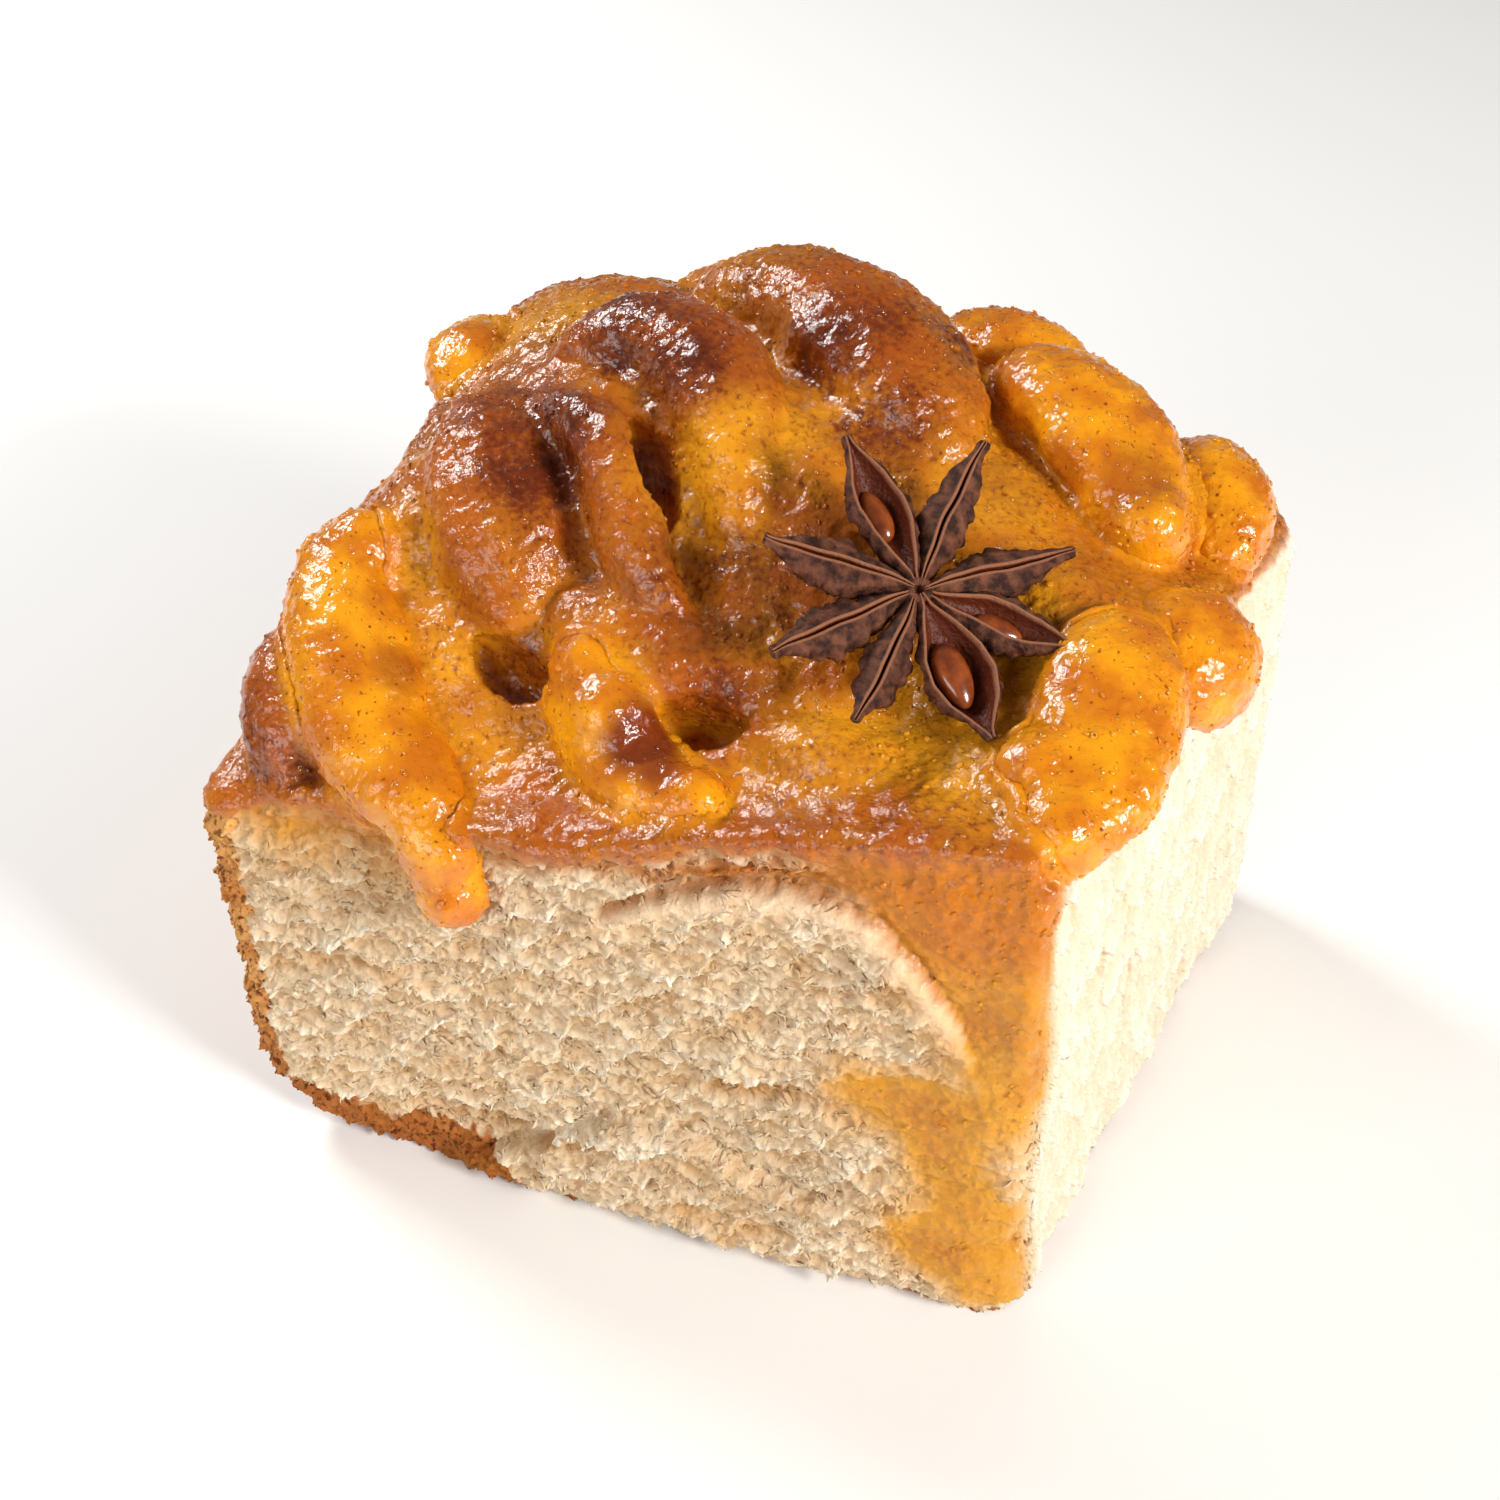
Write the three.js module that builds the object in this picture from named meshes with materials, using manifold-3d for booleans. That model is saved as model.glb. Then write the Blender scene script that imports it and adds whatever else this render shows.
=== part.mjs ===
// Pumpkin roll cake: one square torn from a tray of soft rolls. The dough is rolled up round a layer of
// pumpkin jam and twisted on top, browned on its two outer sides and pale where it was torn from its
// neighbours (front and right). Jam strips lie over the glazed top, and one star anise pod sits on it.
// Millimetres, +Z up, resting on z = 0, with the torn front face towards -Y. Each piece is one closed solid.
import * as THREE from 'three';
import { mergeVertices } from 'three/addons/utils/BufferGeometryUtils.js';
import Module from 'manifold-3d';

const wasm = await Module();
wasm.setup();

// ---------------------------------------------------------------- driving dimensions (mm, degrees)
const GAP = 0.3; // between pieces that touch
const BASE_CENTRE = { x: 0.25, y: 0.8 }; // moves the whole cake, so that its box is centred on the origin

// Four upright sides, each at right angles to its outward direction and `out` from the axis. Torn sides are
// nearly straight with crisp edges, and baked sides have a round foot and a round shoulder.
const SIDES = [
  { facing: -85.2, out: 34.9, lean: -0.6, footRound: 1.2, shoulderRound: 1.5, torn: true }, // front
  { facing: -5.2, out: 40.3, lean: -1.1, footRound: 1.6, shoulderRound: 3, torn: true }, // right
  { facing: 90, out: 38.0, lean: -1.0, footRound: 8, shoulderRound: 8, torn: false }, // back
  { facing: 177.7, out: 42.2, lean: 1.3, footRound: 13, shoulderRound: 3.5, torn: false }, // left
];
const CORNER_RADIUS = [2.6, 1.4, 5, 12]; // front left, front right, back right, back left
// Height of the rim at each corner and in the middle of each side, anticlockwise from the front left, and
// how fast the top rises there: 0 after a flat brim, 1 at once, as a dome.
const RIM_HEIGHT = [47, 52.5, 62, 66, 58.5, 70, 68.5, 62.5];
const RIM_DOME = [0.35, 0, 0, 0.35, 0.4, 1, 1, 1];
const CROWN = { x: -8, y: 13, height: 74 }; // the highest part of the dough, behind the middle
const POD_DISH = { x: 16.4, y: -9.9, radius: 21, depth: 4.5 }; // shallow dip that the star anise lies in

const POINTS_PER_SIDE = 19;
const POINTS_PER_CORNER = 4;
const WALL_RINGS = 11;
const TOP_RINGS = 11;
const CRUMB_RELIEF = 1.2; // depth of the pulled flakes on the torn sides
const CRUST_RELIEF = 0.7; // unevenness of the baked sides
const TOP_RELIEF = 0.8; // unevenness of the glazed top

// ---------------------------------------------------------------- small helpers
const clamp01 = (v) => Math.min(1, Math.max(0, v));
const mix = (a, b, t) => a + (b - a) * t;
const smooth = (t) => clamp01(t) ** 2 * (3 - 2 * clamp01(t));
const rad = THREE.MathUtils.degToRad;

function latticeValue(i, j, k, seed) {
  const wave = Math.sin(i * 127.1 + j * 311.7 + k * 74.7 + seed * 53.3) * 43758.5453;
  return 2 * (wave - Math.floor(wave)) - 1;
}

// Smooth noise between -1 and 1 that changes over about one unit.
function noise(x, y, z, seed) {
  const cell = [x, y, z].map(Math.floor);
  const part = [x - cell[0], y - cell[1], z - cell[2]].map(smooth);
  let sum = 0;
  for (let corner = 0; corner < 8; corner += 1) {
    const step = [corner & 1, (corner >> 1) & 1, corner >> 2];
    const weight = step.reduce((w, s, axis) => w * (s ? part[axis] : 1 - part[axis]), 1);
    sum += weight * latticeValue(cell[0] + step[0], cell[1] + step[1], cell[2] + step[2], seed);
  }
  return sum;
}

function toSolid(geometry) {
  geometry.deleteAttribute('normal');
  geometry.deleteAttribute('uv');
  const merged = mergeVertices(geometry, 1e-4);
  return new wasm.Manifold(new wasm.Mesh({
    numProp: 3,
    vertProperties: merged.attributes.position.array,
    triVerts: new Uint32Array(merged.index.array),
  }));
}

function toGeometry(solid) {
  const mesh = solid.getMesh();
  const geometry = new THREE.BufferGeometry();
  geometry.setAttribute('position', new THREE.BufferAttribute(mesh.vertProperties, 3));
  geometry.setIndex(new THREE.BufferAttribute(mesh.triVerts, 1));
  geometry.computeVertexNormals();
  return geometry;
}

const largestPart = (solid) => solid.decompose().sort((a, b) => b.volume() - a.volume())[0];
const join = (solids) => solids.reduce((whole, next) => whole.add(next));

// ---------------------------------------------------------------- the outline of the dough
// Where two sides meet, each moved inwards by its own inset, as the centre of a round corner.
function cornerCentre(sideA, sideB, distanceA, distanceB) {
  const a = rad(sideA.facing);
  const b = rad(sideB.facing);
  const det = Math.cos(a) * Math.sin(b) - Math.sin(a) * Math.cos(b);
  return [
    (distanceA * Math.sin(b) - distanceB * Math.sin(a)) / det,
    (distanceB * Math.cos(a) - distanceA * Math.cos(b)) / det,
  ];
}

// Inset of a round edge of radius r at a distance d from the flat that it runs into.
const roundInset = (r, d) => (d < r ? r - Math.sqrt(Math.max(0, r * r - (r - d) ** 2)) : 0);

// One ring has, anticlockwise, the corner arc before each side and then the side itself.
const RING_POINTS = 4 * (POINTS_PER_SIDE + POINTS_PER_CORNER);

function ringPlace(index) {
  const perSide = POINTS_PER_SIDE + POINTS_PER_CORNER;
  const side = Math.floor(index / perSide);
  const step = index % perSide;
  const onCorner = step < POINTS_PER_CORNER;
  const along = onCorner
    ? step / (POINTS_PER_CORNER - 1)
    : (step - POINTS_PER_CORNER + 1) / (POINTS_PER_SIDE + 1);
  return { side, onCorner, along };
}

// Place on the rim as a number of eighths of a turn, for the two lists of values round the rim.
function rimTurn(index) {
  const { side, onCorner, along } = ringPlace(index);
  const turn = onCorner ? side + 0.04 * (along * 2 - 1) : side + 0.04 + 0.92 * along;
  return ((turn + 4) % 4) * 2;
}

function roundTheRim(values, turn) {
  const from = Math.floor(turn) % 8;
  const share = turn % 1;
  return mix(values[from], values[(from + 1) % 8], mix(share, smooth(share), 0.5));
}

function rimHeight(index) {
  const turn = rimTurn(index);
  return roundTheRim(RIM_HEIGHT, turn) + 0.7 * noise(turn * 3.5, 0, 0, 5);
}

function outlinePoint(index, z, rim, grow) {
  const { side, onCorner, along } = ringPlace(index);
  const distance = (s) => s.out + grow + s.lean * (z / rim)
    - roundInset(s.footRound, z) - roundInset(s.shoulderRound, rim - z);
  const centreOf = (corner) => {
    const before = SIDES[(corner + 3) % 4];
    const after = SIDES[corner];
    const radius = CORNER_RADIUS[corner];
    const [x, y] = cornerCentre(before, after, distance(before) - radius, distance(after) - radius);
    return { x, y, radius, before, after };
  };
  const arcPoint = (c, facing) => [
    c.x + c.radius * Math.cos(rad(facing)),
    c.y + c.radius * Math.sin(rad(facing)),
  ];
  const corner = centreOf(side);
  if (onCorner) {
    const turn = (((corner.after.facing - corner.before.facing) % 360) + 360) % 360;
    return arcPoint(corner, corner.before.facing + turn * along);
  }
  const next = centreOf((side + 1) % 4);
  const start = arcPoint(corner, SIDES[side].facing);
  const end = arcPoint(next, SIDES[side].facing);
  return [mix(start[0], end[0], along), mix(start[1], end[1], along)];
}

// Share of the way up from the rim to the crown, at a share of the way inwards.
function rise(inward, index) {
  const brim = smooth(inward / 0.95);
  const dome = 1 - (1 - inward) ** 3.4;
  return mix(brim, dome, roundTheRim(RIM_DOME, rimTurn(index)));
}

// The outer layer at the foot of the torn front stands proud of the rest, from its end on the left.
const FOOT_FLAP = { startX: -21, topAtStart: 3, topFarOn: 14, proud: 1.3 };

function flapRelief(x, y, z) {
  if (y > -25) return 0;
  const top = mix(FOOT_FLAP.topAtStart, FOOT_FLAP.topFarOn, smooth((x - FOOT_FLAP.startX) / 22));
  return FOOT_FLAP.proud * smooth((x - FOOT_FLAP.startX) / 3) * smooth((top - z) / 2 + 0.5);
}

// Uneven relief at a place, of coarse waves and finer ones. Each size is a width and a height.
function relief([x, y, z], coarse, fine, seed) {
  const wave = (size, part) => noise(x / size[0], y / size[0], z / size[1], seed + part);
  return 0.75 * wave(coarse, 0) + 0.45 * wave(fine, 0.5);
}

// Folds, pulled flakes and pocks, as a distance outwards at a point of the wall.
function wallRelief(index, x, y, z) {
  const { side, onCorner } = ringPlace(index);
  const torn = SIDES[side].torn && !onCorner;
  const flakes = CRUMB_RELIEF * relief([x, y, z], [9, 3.4], [4, 2.2], 1);
  const crust = CRUST_RELIEF * relief([x, y, z], [8, 8], [3.5, 3.5], 3);
  return (torn ? flakes + flapRelief(x, y, z) : crust) * smooth(z / 3);
}

function topRelief(x, y) {
  const dip = smooth(1 - Math.hypot(x - POD_DISH.x, y - POD_DISH.y) / POD_DISH.radius);
  return TOP_RELIEF * relief([x, y, 0], [7, 7], [3.4, 3.4], 6) - POD_DISH.depth * dip;
}

// ---------------------------------------------------------------- the plain block of dough
function blockGeometry(grow) {
  const positions = [];
  const faces = [];
  const addRing = (pointAt) => {
    for (let i = 0; i < RING_POINTS; i += 1) positions.push(...pointAt(i));
  };
  const rims = Array.from({ length: RING_POINTS }, (_, i) => rimHeight(i));
  for (let ring = 0; ring <= WALL_RINGS; ring += 1) {
    const share = (1 - Math.cos((Math.PI * ring) / WALL_RINGS)) / 2;
    const up = mix(ring / WALL_RINGS, share, 0.45);
    addRing((i) => {
      const z = up * rims[i];
      const [x, y] = outlinePoint(i, z, rims[i], grow);
      const bump = wallRelief(i, x, y, z);
      const away = Math.hypot(x, y);
      const lift = ring === 0 ? -grow : grow * up;
      return [x * (1 + bump / away), y * (1 + bump / away), z + lift];
    });
  }
  for (let ring = 1; ring < TOP_RINGS; ring += 1) {
    const inward = ring / TOP_RINGS;
    addRing((i) => {
      const [rimX, rimY] = outlinePoint(i, rims[i], rims[i], grow);
      const x = mix(rimX, CROWN.x, inward);
      const y = mix(rimY, CROWN.y, inward);
      const fade = smooth(inward * 5);
      return [x, y, mix(rims[i], CROWN.height, rise(inward, i)) + topRelief(x, y) * fade + grow];
    });
  }
  const ringCount = WALL_RINGS + TOP_RINGS;
  for (let ring = 0; ring < ringCount - 1; ring += 1) {
    for (let i = 0; i < RING_POINTS; i += 1) {
      const a = ring * RING_POINTS + i;
      const b = ring * RING_POINTS + ((i + 1) % RING_POINTS);
      faces.push(a, b, b + RING_POINTS, a, b + RING_POINTS, a + RING_POINTS);
    }
  }
  const floorCentre = positions.length / 3;
  positions.push(0, 0, -grow);
  const crown = floorCentre + 1;
  positions.push(CROWN.x, CROWN.y, CROWN.height + topRelief(CROWN.x, CROWN.y) + grow);
  for (let i = 0; i < RING_POINTS; i += 1) {
    const next = (i + 1) % RING_POINTS;
    const last = (ringCount - 1) * RING_POINTS;
    faces.push(floorCentre, next, i);
    faces.push(crown, last + i, last + next);
  }
  const geometry = new THREE.BufferGeometry();
  geometry.setAttribute('position', new THREE.Float32BufferAttribute(positions, 3));
  geometry.setIndex(faces);
  return geometry;
}

// ---------------------------------------------------------------- twisted lobes, jam strips and hollows
// A rounded bar along a path, thickest in its middle and closed to a blunt tip at each end. Each path runs
// along the top of the bar, and `width` and `depth` are its full section.
function barSolid({ path, width, depth, endWidth = width, lumps = 0.5 }, grow, around, along) {
  const points = path.map(([x, y, z]) => new THREE.Vector3(x, y, z - depth / 2));
  const curve = new THREE.CatmullRomCurve3(points, false, 'centripetal');
  const geometry = new THREE.SphereGeometry(1, around, along);
  const position = geometry.attributes.position;
  const up = new THREE.Vector3(0, 0, 1);
  const side = new THREE.Vector3();
  const above = new THREE.Vector3();
  for (let i = 0; i < position.count; i += 1) {
    const ball = new THREE.Vector3().fromBufferAttribute(position, i);
    const share = 0.5 + Math.asin(THREE.MathUtils.clamp(ball.y, -1, 1)) / Math.PI;
    const centre = curve.getPointAt(share);
    const forward = curve.getTangentAt(share);
    side.crossVectors(forward, up).normalize();
    above.crossVectors(side, forward);
    const ring = Math.hypot(ball.x, ball.z);
    const fullness = ring > 1e-6 ? ring ** 0.55 / ring : 0;
    const wide = mix(width, endWidth, smooth(share * 2 - 0.9));
    const bump = 1 + 0.12 * lumps * noise(centre.x / 3 + ball.x, centre.y / 3 + ball.z, share * 9, 11);
    centre.addScaledVector(side, ball.x * fullness * (bump * wide / 2 + grow));
    centre.addScaledVector(above, ball.z * fullness * (bump * depth / 2 + grow));
    centre.addScaledVector(forward, ball.y * grow);
    position.setXYZ(i, centre.x, centre.y, centre.z);
  }
  return toSolid(geometry);
}

// Twisted dough that shows on the top, fused to the block.
const DOUGH_LOBES = [
  { width: 17, depth: 13, path: [[-37, 3, 71], [-31, 0, 73], [-27, -6, 71], [-21, -13, 67], [-16, -16, 62]] },
  { width: 7, depth: 9, path: [[-28, 2, 75], [-18, -3, 75], [-13, -8, 71.5], [-8, -13, 68], [-1, -15, 64]] },
  { width: 12, depth: 11, path: [[-30, 7, 76], [-20, 11, 79], [-13, 9, 79], [-7, 4, 76.5], [-1, -8, 70]] },
  { width: 17, depth: 14, path: [[-22, 22, 78], [-11, 24, 80], [-1, 20, 79.5], [7, 14, 77], [15, 1, 69]] },
  { width: 14, depth: 12, path: [[-22, -12, 64], [-13, -14, 65], [-5, -15, 64], [2, -15, 64], [9, -12, 65]] },
  { width: 10, depth: 8, path: [[3, -20, 60.5], [12, -21, 61], [21, -20, 61], [28, -16, 62]] },
  { width: 8, depth: 6, path: [[-34, -34, 48], [-14, -33, 52], [5, -30, 55], [18, -28, 58], [32, -25, 61]] },
  { width: 11, depth: 9, path: [[-40.5, -20, 60], [-38, -28, 56], [-35, -35, 50]] },
  { width: 14, depth: 12, path: [[-42, 18, 67], [-35, 17, 70], [-26, 17, 73.3], [-18, 17, 76]] },
  { width: 17, depth: 12, path: [[9, 28, 74], [19, 24, 72.5], [27, 17, 70], [34, 8, 68]] },
];
// Deep creases between the lobes, cut out of the dough.
const PITS = [
  { width: 6.5, depth: 13, path: [[-18, 2, 77], [-12.5, -4, 74.5], [-10, -8, 72]] },
  { width: 4.5, depth: 9, path: [[-4, -21.2, 60.5], [1, -21.2, 60.5], [6, -20, 61]] },
  { width: 4.5, depth: 8, path: [[-24, -19, 62], [-18, -21, 60], [-13, -20, 60]] },
];

// ---------------------------------------------------------------- the pumpkin jam on top
// Strips, drips and lumps of jam, each a piece of its own. A point with a `lift` lies on the dough with its
// top that much above it. A point with a z hangs over an edge.
const lying = (x, y, lift) => ({ x, y, lift });
const hanging = (x, y, z) => ({ x, y, z });
const JAM = [
  {
    name: 'jam_strip_left',
    width: 12.5,
    endWidth: 7,
    depth: 8.5,
    path: [lying(-41, -8, 2), lying(-39, -17, 4.5), lying(-34, -25, 5), lying(-27, -31, 4.5),
      hanging(-21.5, -34, 54.5), hanging(-18.5, -37, 50.5), hanging(-17.6, -38.3, 43.5)],
  },
  {
    name: 'jam_strip_front',
    width: 9,
    depth: 7,
    path: [lying(-13, -17, 1.5), lying(-10, -22, 3.5), lying(-4, -26, 3.5), lying(2, -28.5, 3),
      lying(8, -30, 1.5)],
  },
  {
    name: 'jam_strip_right',
    width: 12,
    depth: 7,
    path: [lying(12, 27, 1.5), lying(17, 23.5, 3.5), lying(23, 20, 3.5), lying(29, 14, 3.5),
      lying(33.5, 8.5, 2.5)],
  },
  {
    name: 'jam_lump_right',
    width: 12,
    depth: 7.5,
    path: [lying(32.5, 3.5, 1.5), lying(37.5, 1.5, 2.5), hanging(41, 0, 65), hanging(42.3, -0.5, 60)],
  },
  {
    name: 'jam_corner',
    width: 12.5,
    endWidth: 14,
    depth: 7,
    path: [lying(30, 0, 1), lying(34, -7, 2.5), lying(35.5, -15, 3), hanging(36, -22, 65),
      hanging(35.5, -27, 62.5)],
  },
  {
    name: 'jam_lump_back_right',
    width: 10,
    depth: 7.5,
    path: [lying(27, 31, 4), lying(34, 25, 6.5), lying(39, 14, 3.5)],
  },
  {
    name: 'jam_lump_back',
    width: 10,
    depth: 7.5,
    path: [lying(2, 31, 3), lying(10, 31, 5.5), lying(20, 31, 3.5)],
  },
  {
    name: 'jam_lump_back_left',
    width: 10,
    depth: 6,
    path: [lying(-27, 30, 1.5), lying(-19, 31, 3), lying(-12, 30, 1.5)],
  },
  {
    name: 'jam_lump_left',
    width: 10,
    depth: 6.5,
    path: [lying(-41, 20, 1.5), lying(-40, 12, 3), lying(-38, 5, 1.5)],
  },
];

// Height of the top surface of a solid at one place.
function surfaceHeight(solid) {
  const { vertProperties, triVerts } = solid.getMesh();
  const corner = (i) => new THREE.Vector3().fromArray(vertProperties, 3 * i);
  const triangles = [];
  for (let i = 0; i < triVerts.length; i += 3) {
    triangles.push(new THREE.Triangle(corner(triVerts[i]), corner(triVerts[i + 1]), corner(triVerts[i + 2])));
  }
  const ray = new THREE.Ray(new THREE.Vector3(), new THREE.Vector3(0, 0, -1));
  const hit = new THREE.Vector3();
  return (x, y) => {
    ray.origin.set(x, y, 200);
    const heights = triangles.map((t) => (ray.intersectTriangle(t.a, t.b, t.c, true, hit) ? hit.z : 0));
    return heights.reduce((highest, z) => Math.max(highest, z));
  };
}

// ---------------------------------------------------------------- the spiral of filling inside the roll
// One turn of the rolled-up sheet, seen on the front as [x, z]: along the bottom, up on the right and back
// over to the left. It runs from the torn front nearly to the back crust.
const FILLING_TURN = [
  [-18, 4.5], [-11, 9.5], [-3, 15.5], [5, 16], [14, 13.5], [27, 14], [34, 20],
  [34.5, 31], [30.5, 40.5], [27, 47.5], [22.5, 51.8], [16, 53.4], [8.5, 52], [2, 48.8], [-3, 45],
];
const FILLING_THICKNESS = 1.6;
const FILLING_STOPS = 27; // y at its inner end
const FILLING_STARTS = -45; // y in front of the cake: the torn front trims it
const FILLING_STEPS = 26;

function fillingSolid(grow) {
  const curve = new THREE.SplineCurve(FILLING_TURN.map(([x, z]) => new THREE.Vector2(x, z)));
  const half = FILLING_THICKNESS / 2 + grow;
  const upper = [];
  const lower = [];
  for (let i = 0; i <= FILLING_STEPS; i += 1) {
    const point = curve.getPointAt(i / FILLING_STEPS);
    const along = curve.getTangentAt(i / FILLING_STEPS);
    const outwards = { 0: -grow, [FILLING_STEPS]: grow }[i] ?? 0; // past the sheet's two edges
    const x = point.x + along.x * outwards;
    const z = point.y + along.y * outwards;
    const taper = i % FILLING_STEPS === 0 ? 0.5 : 1;
    upper.push(new THREE.Vector2(x - along.y * half * taper, z + along.x * half * taper));
    lower.unshift(new THREE.Vector2(x + along.y * half * taper, z - along.x * half * taper));
  }
  const outline = new THREE.Shape([...upper, ...lower]);
  const depth = FILLING_STOPS + grow - FILLING_STARTS;
  const geometry = new THREE.ExtrudeGeometry(outline, { depth, steps: 1, bevelEnabled: false });
  geometry.rotateX(Math.PI / 2); // the drawn upward direction becomes +Z and the depth runs towards -Y
  geometry.translate(0, FILLING_STOPS + grow, 0);
  return toSolid(geometry);
}

function doughSolid(grow) {
  const block = toSolid(blockGeometry(grow));
  const lobes = DOUGH_LOBES.map((lobe) => barSolid(lobe, grow, 10, 12));
  const pits = PITS.map((pit) => barSolid(pit, -grow, 8, 8));
  return largestPart(join([block, ...lobes]).subtract(join(pits)));
}

// ---------------------------------------------------------------- star anise
// Eight boat-shaped carpels round a short column. Each is [direction, length, width, opening from 0 to 1].
const ANISE_CENTRE = new THREE.Vector3(16.7, -10.3, 70.2);
const ANISE_UP = new THREE.Vector3(0.3, -0.36, 0.883).normalize();
const CARPELS = [
  [137, 15.4, 5.4, 0.6], [89, 15.4, 4.6, 0.1], [38, 14.3, 4.8, 0.15], [0, 14.6, 5.2, 0.45],
  [314, 15.4, 6.0, 1], [267, 14.5, 4.2, 0.1], [232, 15.2, 4.8, 0.1], [188, 14.3, 5.4, 0.15],
];
const CARPEL_DEPTH = 4.4;
const SEAM_DEPTH = 0.5; // of the shut seam along the top of a carpel
const MOUTH_DEPTH = 3.0; // more than that, where it gapes
const BEAK_RISE = 1.5; // how far the tips curl up
const SEEDS = [
  { carpel: 0, size: [5.2, 2.6, 1.9] },
  { carpel: 3, size: [4.6, 2.4, 1.8] },
  { carpel: 4, size: [6.4, 3.4, 2.6] },
];
const SEED_PLACE = 0.53; // share of the carpel's length, from the middle of the pod

function carpelSolid([direction, length, width, opening]) {
  const geometry = new THREE.SphereGeometry(1, 12, 8);
  geometry.rotateZ(-Math.PI / 2); // poles on X, along the carpel
  const position = geometry.attributes.position;
  for (let i = 0; i < position.count; i += 1) {
    const ball = new THREE.Vector3().fromBufferAttribute(position, i);
    const share = 0.5 + Math.asin(THREE.MathUtils.clamp(ball.x, -1, 1)) / Math.PI;
    const ring = Math.hypot(ball.y, ball.z);
    const section = Math.min(share * 3.2, 1.55 * (1 - share) ** 0.8 + 0.02, 1) * (ring > 1e-6 ? 1 : 0);
    const across = ring > 1e-6 ? ball.y / ring : 0;
    const height = ring > 1e-6 ? ball.z / ring : 0;
    const y = across * (width / 2) * section * (1 + 0.25 * opening * Math.max(0, height));
    const keel = -CARPEL_DEPTH * section * Math.abs(height) ** 1.3;
    const seam = -(SEAM_DEPTH + MOUTH_DEPTH * opening) * section;
    const lip = Math.abs(across) < 0.2 ? seam : 0.55 * section * height;
    const beak = BEAK_RISE * share ** 4;
    position.setXYZ(i, share * length, y, (height < -0.01 ? keel : lip) + beak + 0.2);
  }
  geometry.rotateZ(rad(direction));
  return toSolid(geometry);
}

function seedSolid({ carpel, size }, grow) {
  const [direction, length] = CARPELS[carpel];
  const geometry = new THREE.SphereGeometry(1, 8, 6);
  geometry.scale(size[0] / 2 + grow, size[1] / 2 + grow, size[2] / 2 + grow);
  geometry.translate(SEED_PLACE * length, 0, -1.2);
  geometry.rotateZ(rad(direction));
  return toSolid(geometry);
}

function onThePod(geometry) {
  const east = new THREE.Vector3(1, 0, 0);
  east.addScaledVector(ANISE_UP, -ANISE_UP.x).normalize();
  const north = new THREE.Vector3().crossVectors(ANISE_UP, east);
  const place = new THREE.Matrix4().makeBasis(east, north, ANISE_UP).setPosition(ANISE_CENTRE);
  return geometry.applyMatrix4(place);
}

function aniseSolids() {
  const column = new THREE.CylinderGeometry(1.5, 1.0, 4, 12);
  column.rotateX(Math.PI / 2);
  column.translate(0, 0, -1.6);
  const seeds = SEEDS.map((seed) => seedSolid(seed, 0));
  const seedRoom = join(SEEDS.map((seed) => seedSolid(seed, GAP)));
  const pod = largestPart(join([toSolid(column), ...CARPELS.map(carpelSolid)]).subtract(seedRoom));
  const place = (solid) => toSolid(onThePod(toGeometry(solid)));
  return { pod: place(pod), seeds: seeds.map(place) };
}

// ---------------------------------------------------------------- the pieces together
const COLOURS = { crust: 0xd98a2b, jam: 0xe89a1c, filling: 0xe3a03a, anise: 0x4a2620, seed: 0x8a4218 };

const cake = new THREE.Group();
cake.name = 'pumpkin_roll_cake';
cake.position.set(BASE_CENTRE.x, BASE_CENTRE.y, 0);

function addPiece(name, solid, color, roughness) {
  const material = new THREE.MeshStandardMaterial({ color, roughness, metalness: 0 });
  const mesh = new THREE.Mesh(toGeometry(largestPart(solid)), material);
  mesh.name = name;
  cake.add(mesh);
}

const dough = doughSolid(0);
const doughTop = surfaceHeight(dough);
const doughRoom = doughSolid(GAP);
addPiece('roll', dough.subtract(fillingSolid(GAP)), COLOURS.crust, 0.5);
addPiece('filling', dough.intersect(fillingSolid(0)), COLOURS.filling, 0.4);

const { pod, seeds } = aniseSolids();
let taken = doughRoom;
for (const strip of JAM) {
  const places = strip.path.map((p) => [p.x, p.y, p.z ?? doughTop(p.x, p.y) + p.lift]);
  const bar = { ...strip, path: places, lumps: 1 };
  addPiece(strip.name, barSolid(bar, 0, 10, 12).subtract(taken), COLOURS.jam, 0.25);
  taken = taken.add(barSolid(bar, GAP, 10, 12));
}
addPiece('star_anise', pod, COLOURS.anise, 0.6);
seeds.forEach((seed, i) => addPiece(`anise_seed_${i + 1}`, seed, COLOURS.seed, 0.25));

export default cake;
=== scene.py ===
# %% [markdown]
# # A pumpkin roll cake, dressed in Blender
#
# The object is one soft square roll, torn from a tray of rolls that were baked side by side. Its two outer
# sides and its foot are browned crust. Its front and right sides were torn from their neighbours, so they
# show pale, flaky crumb. The top is twisted dough under a sugary glaze with strips of pumpkin jam, and one
# star anise pod lies on it.
#
# The measured solids come first, as a frame. Everything made here is laid over them, in metres, and only
# adds what they leave out: flakes, blisters, browning, gloss and ribs.

# %% Load the measured frame
import math

import bmesh
import bpy
import numpy as np
from mathutils import Matrix, Vector, noise
from mathutils.noise import fractal


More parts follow.
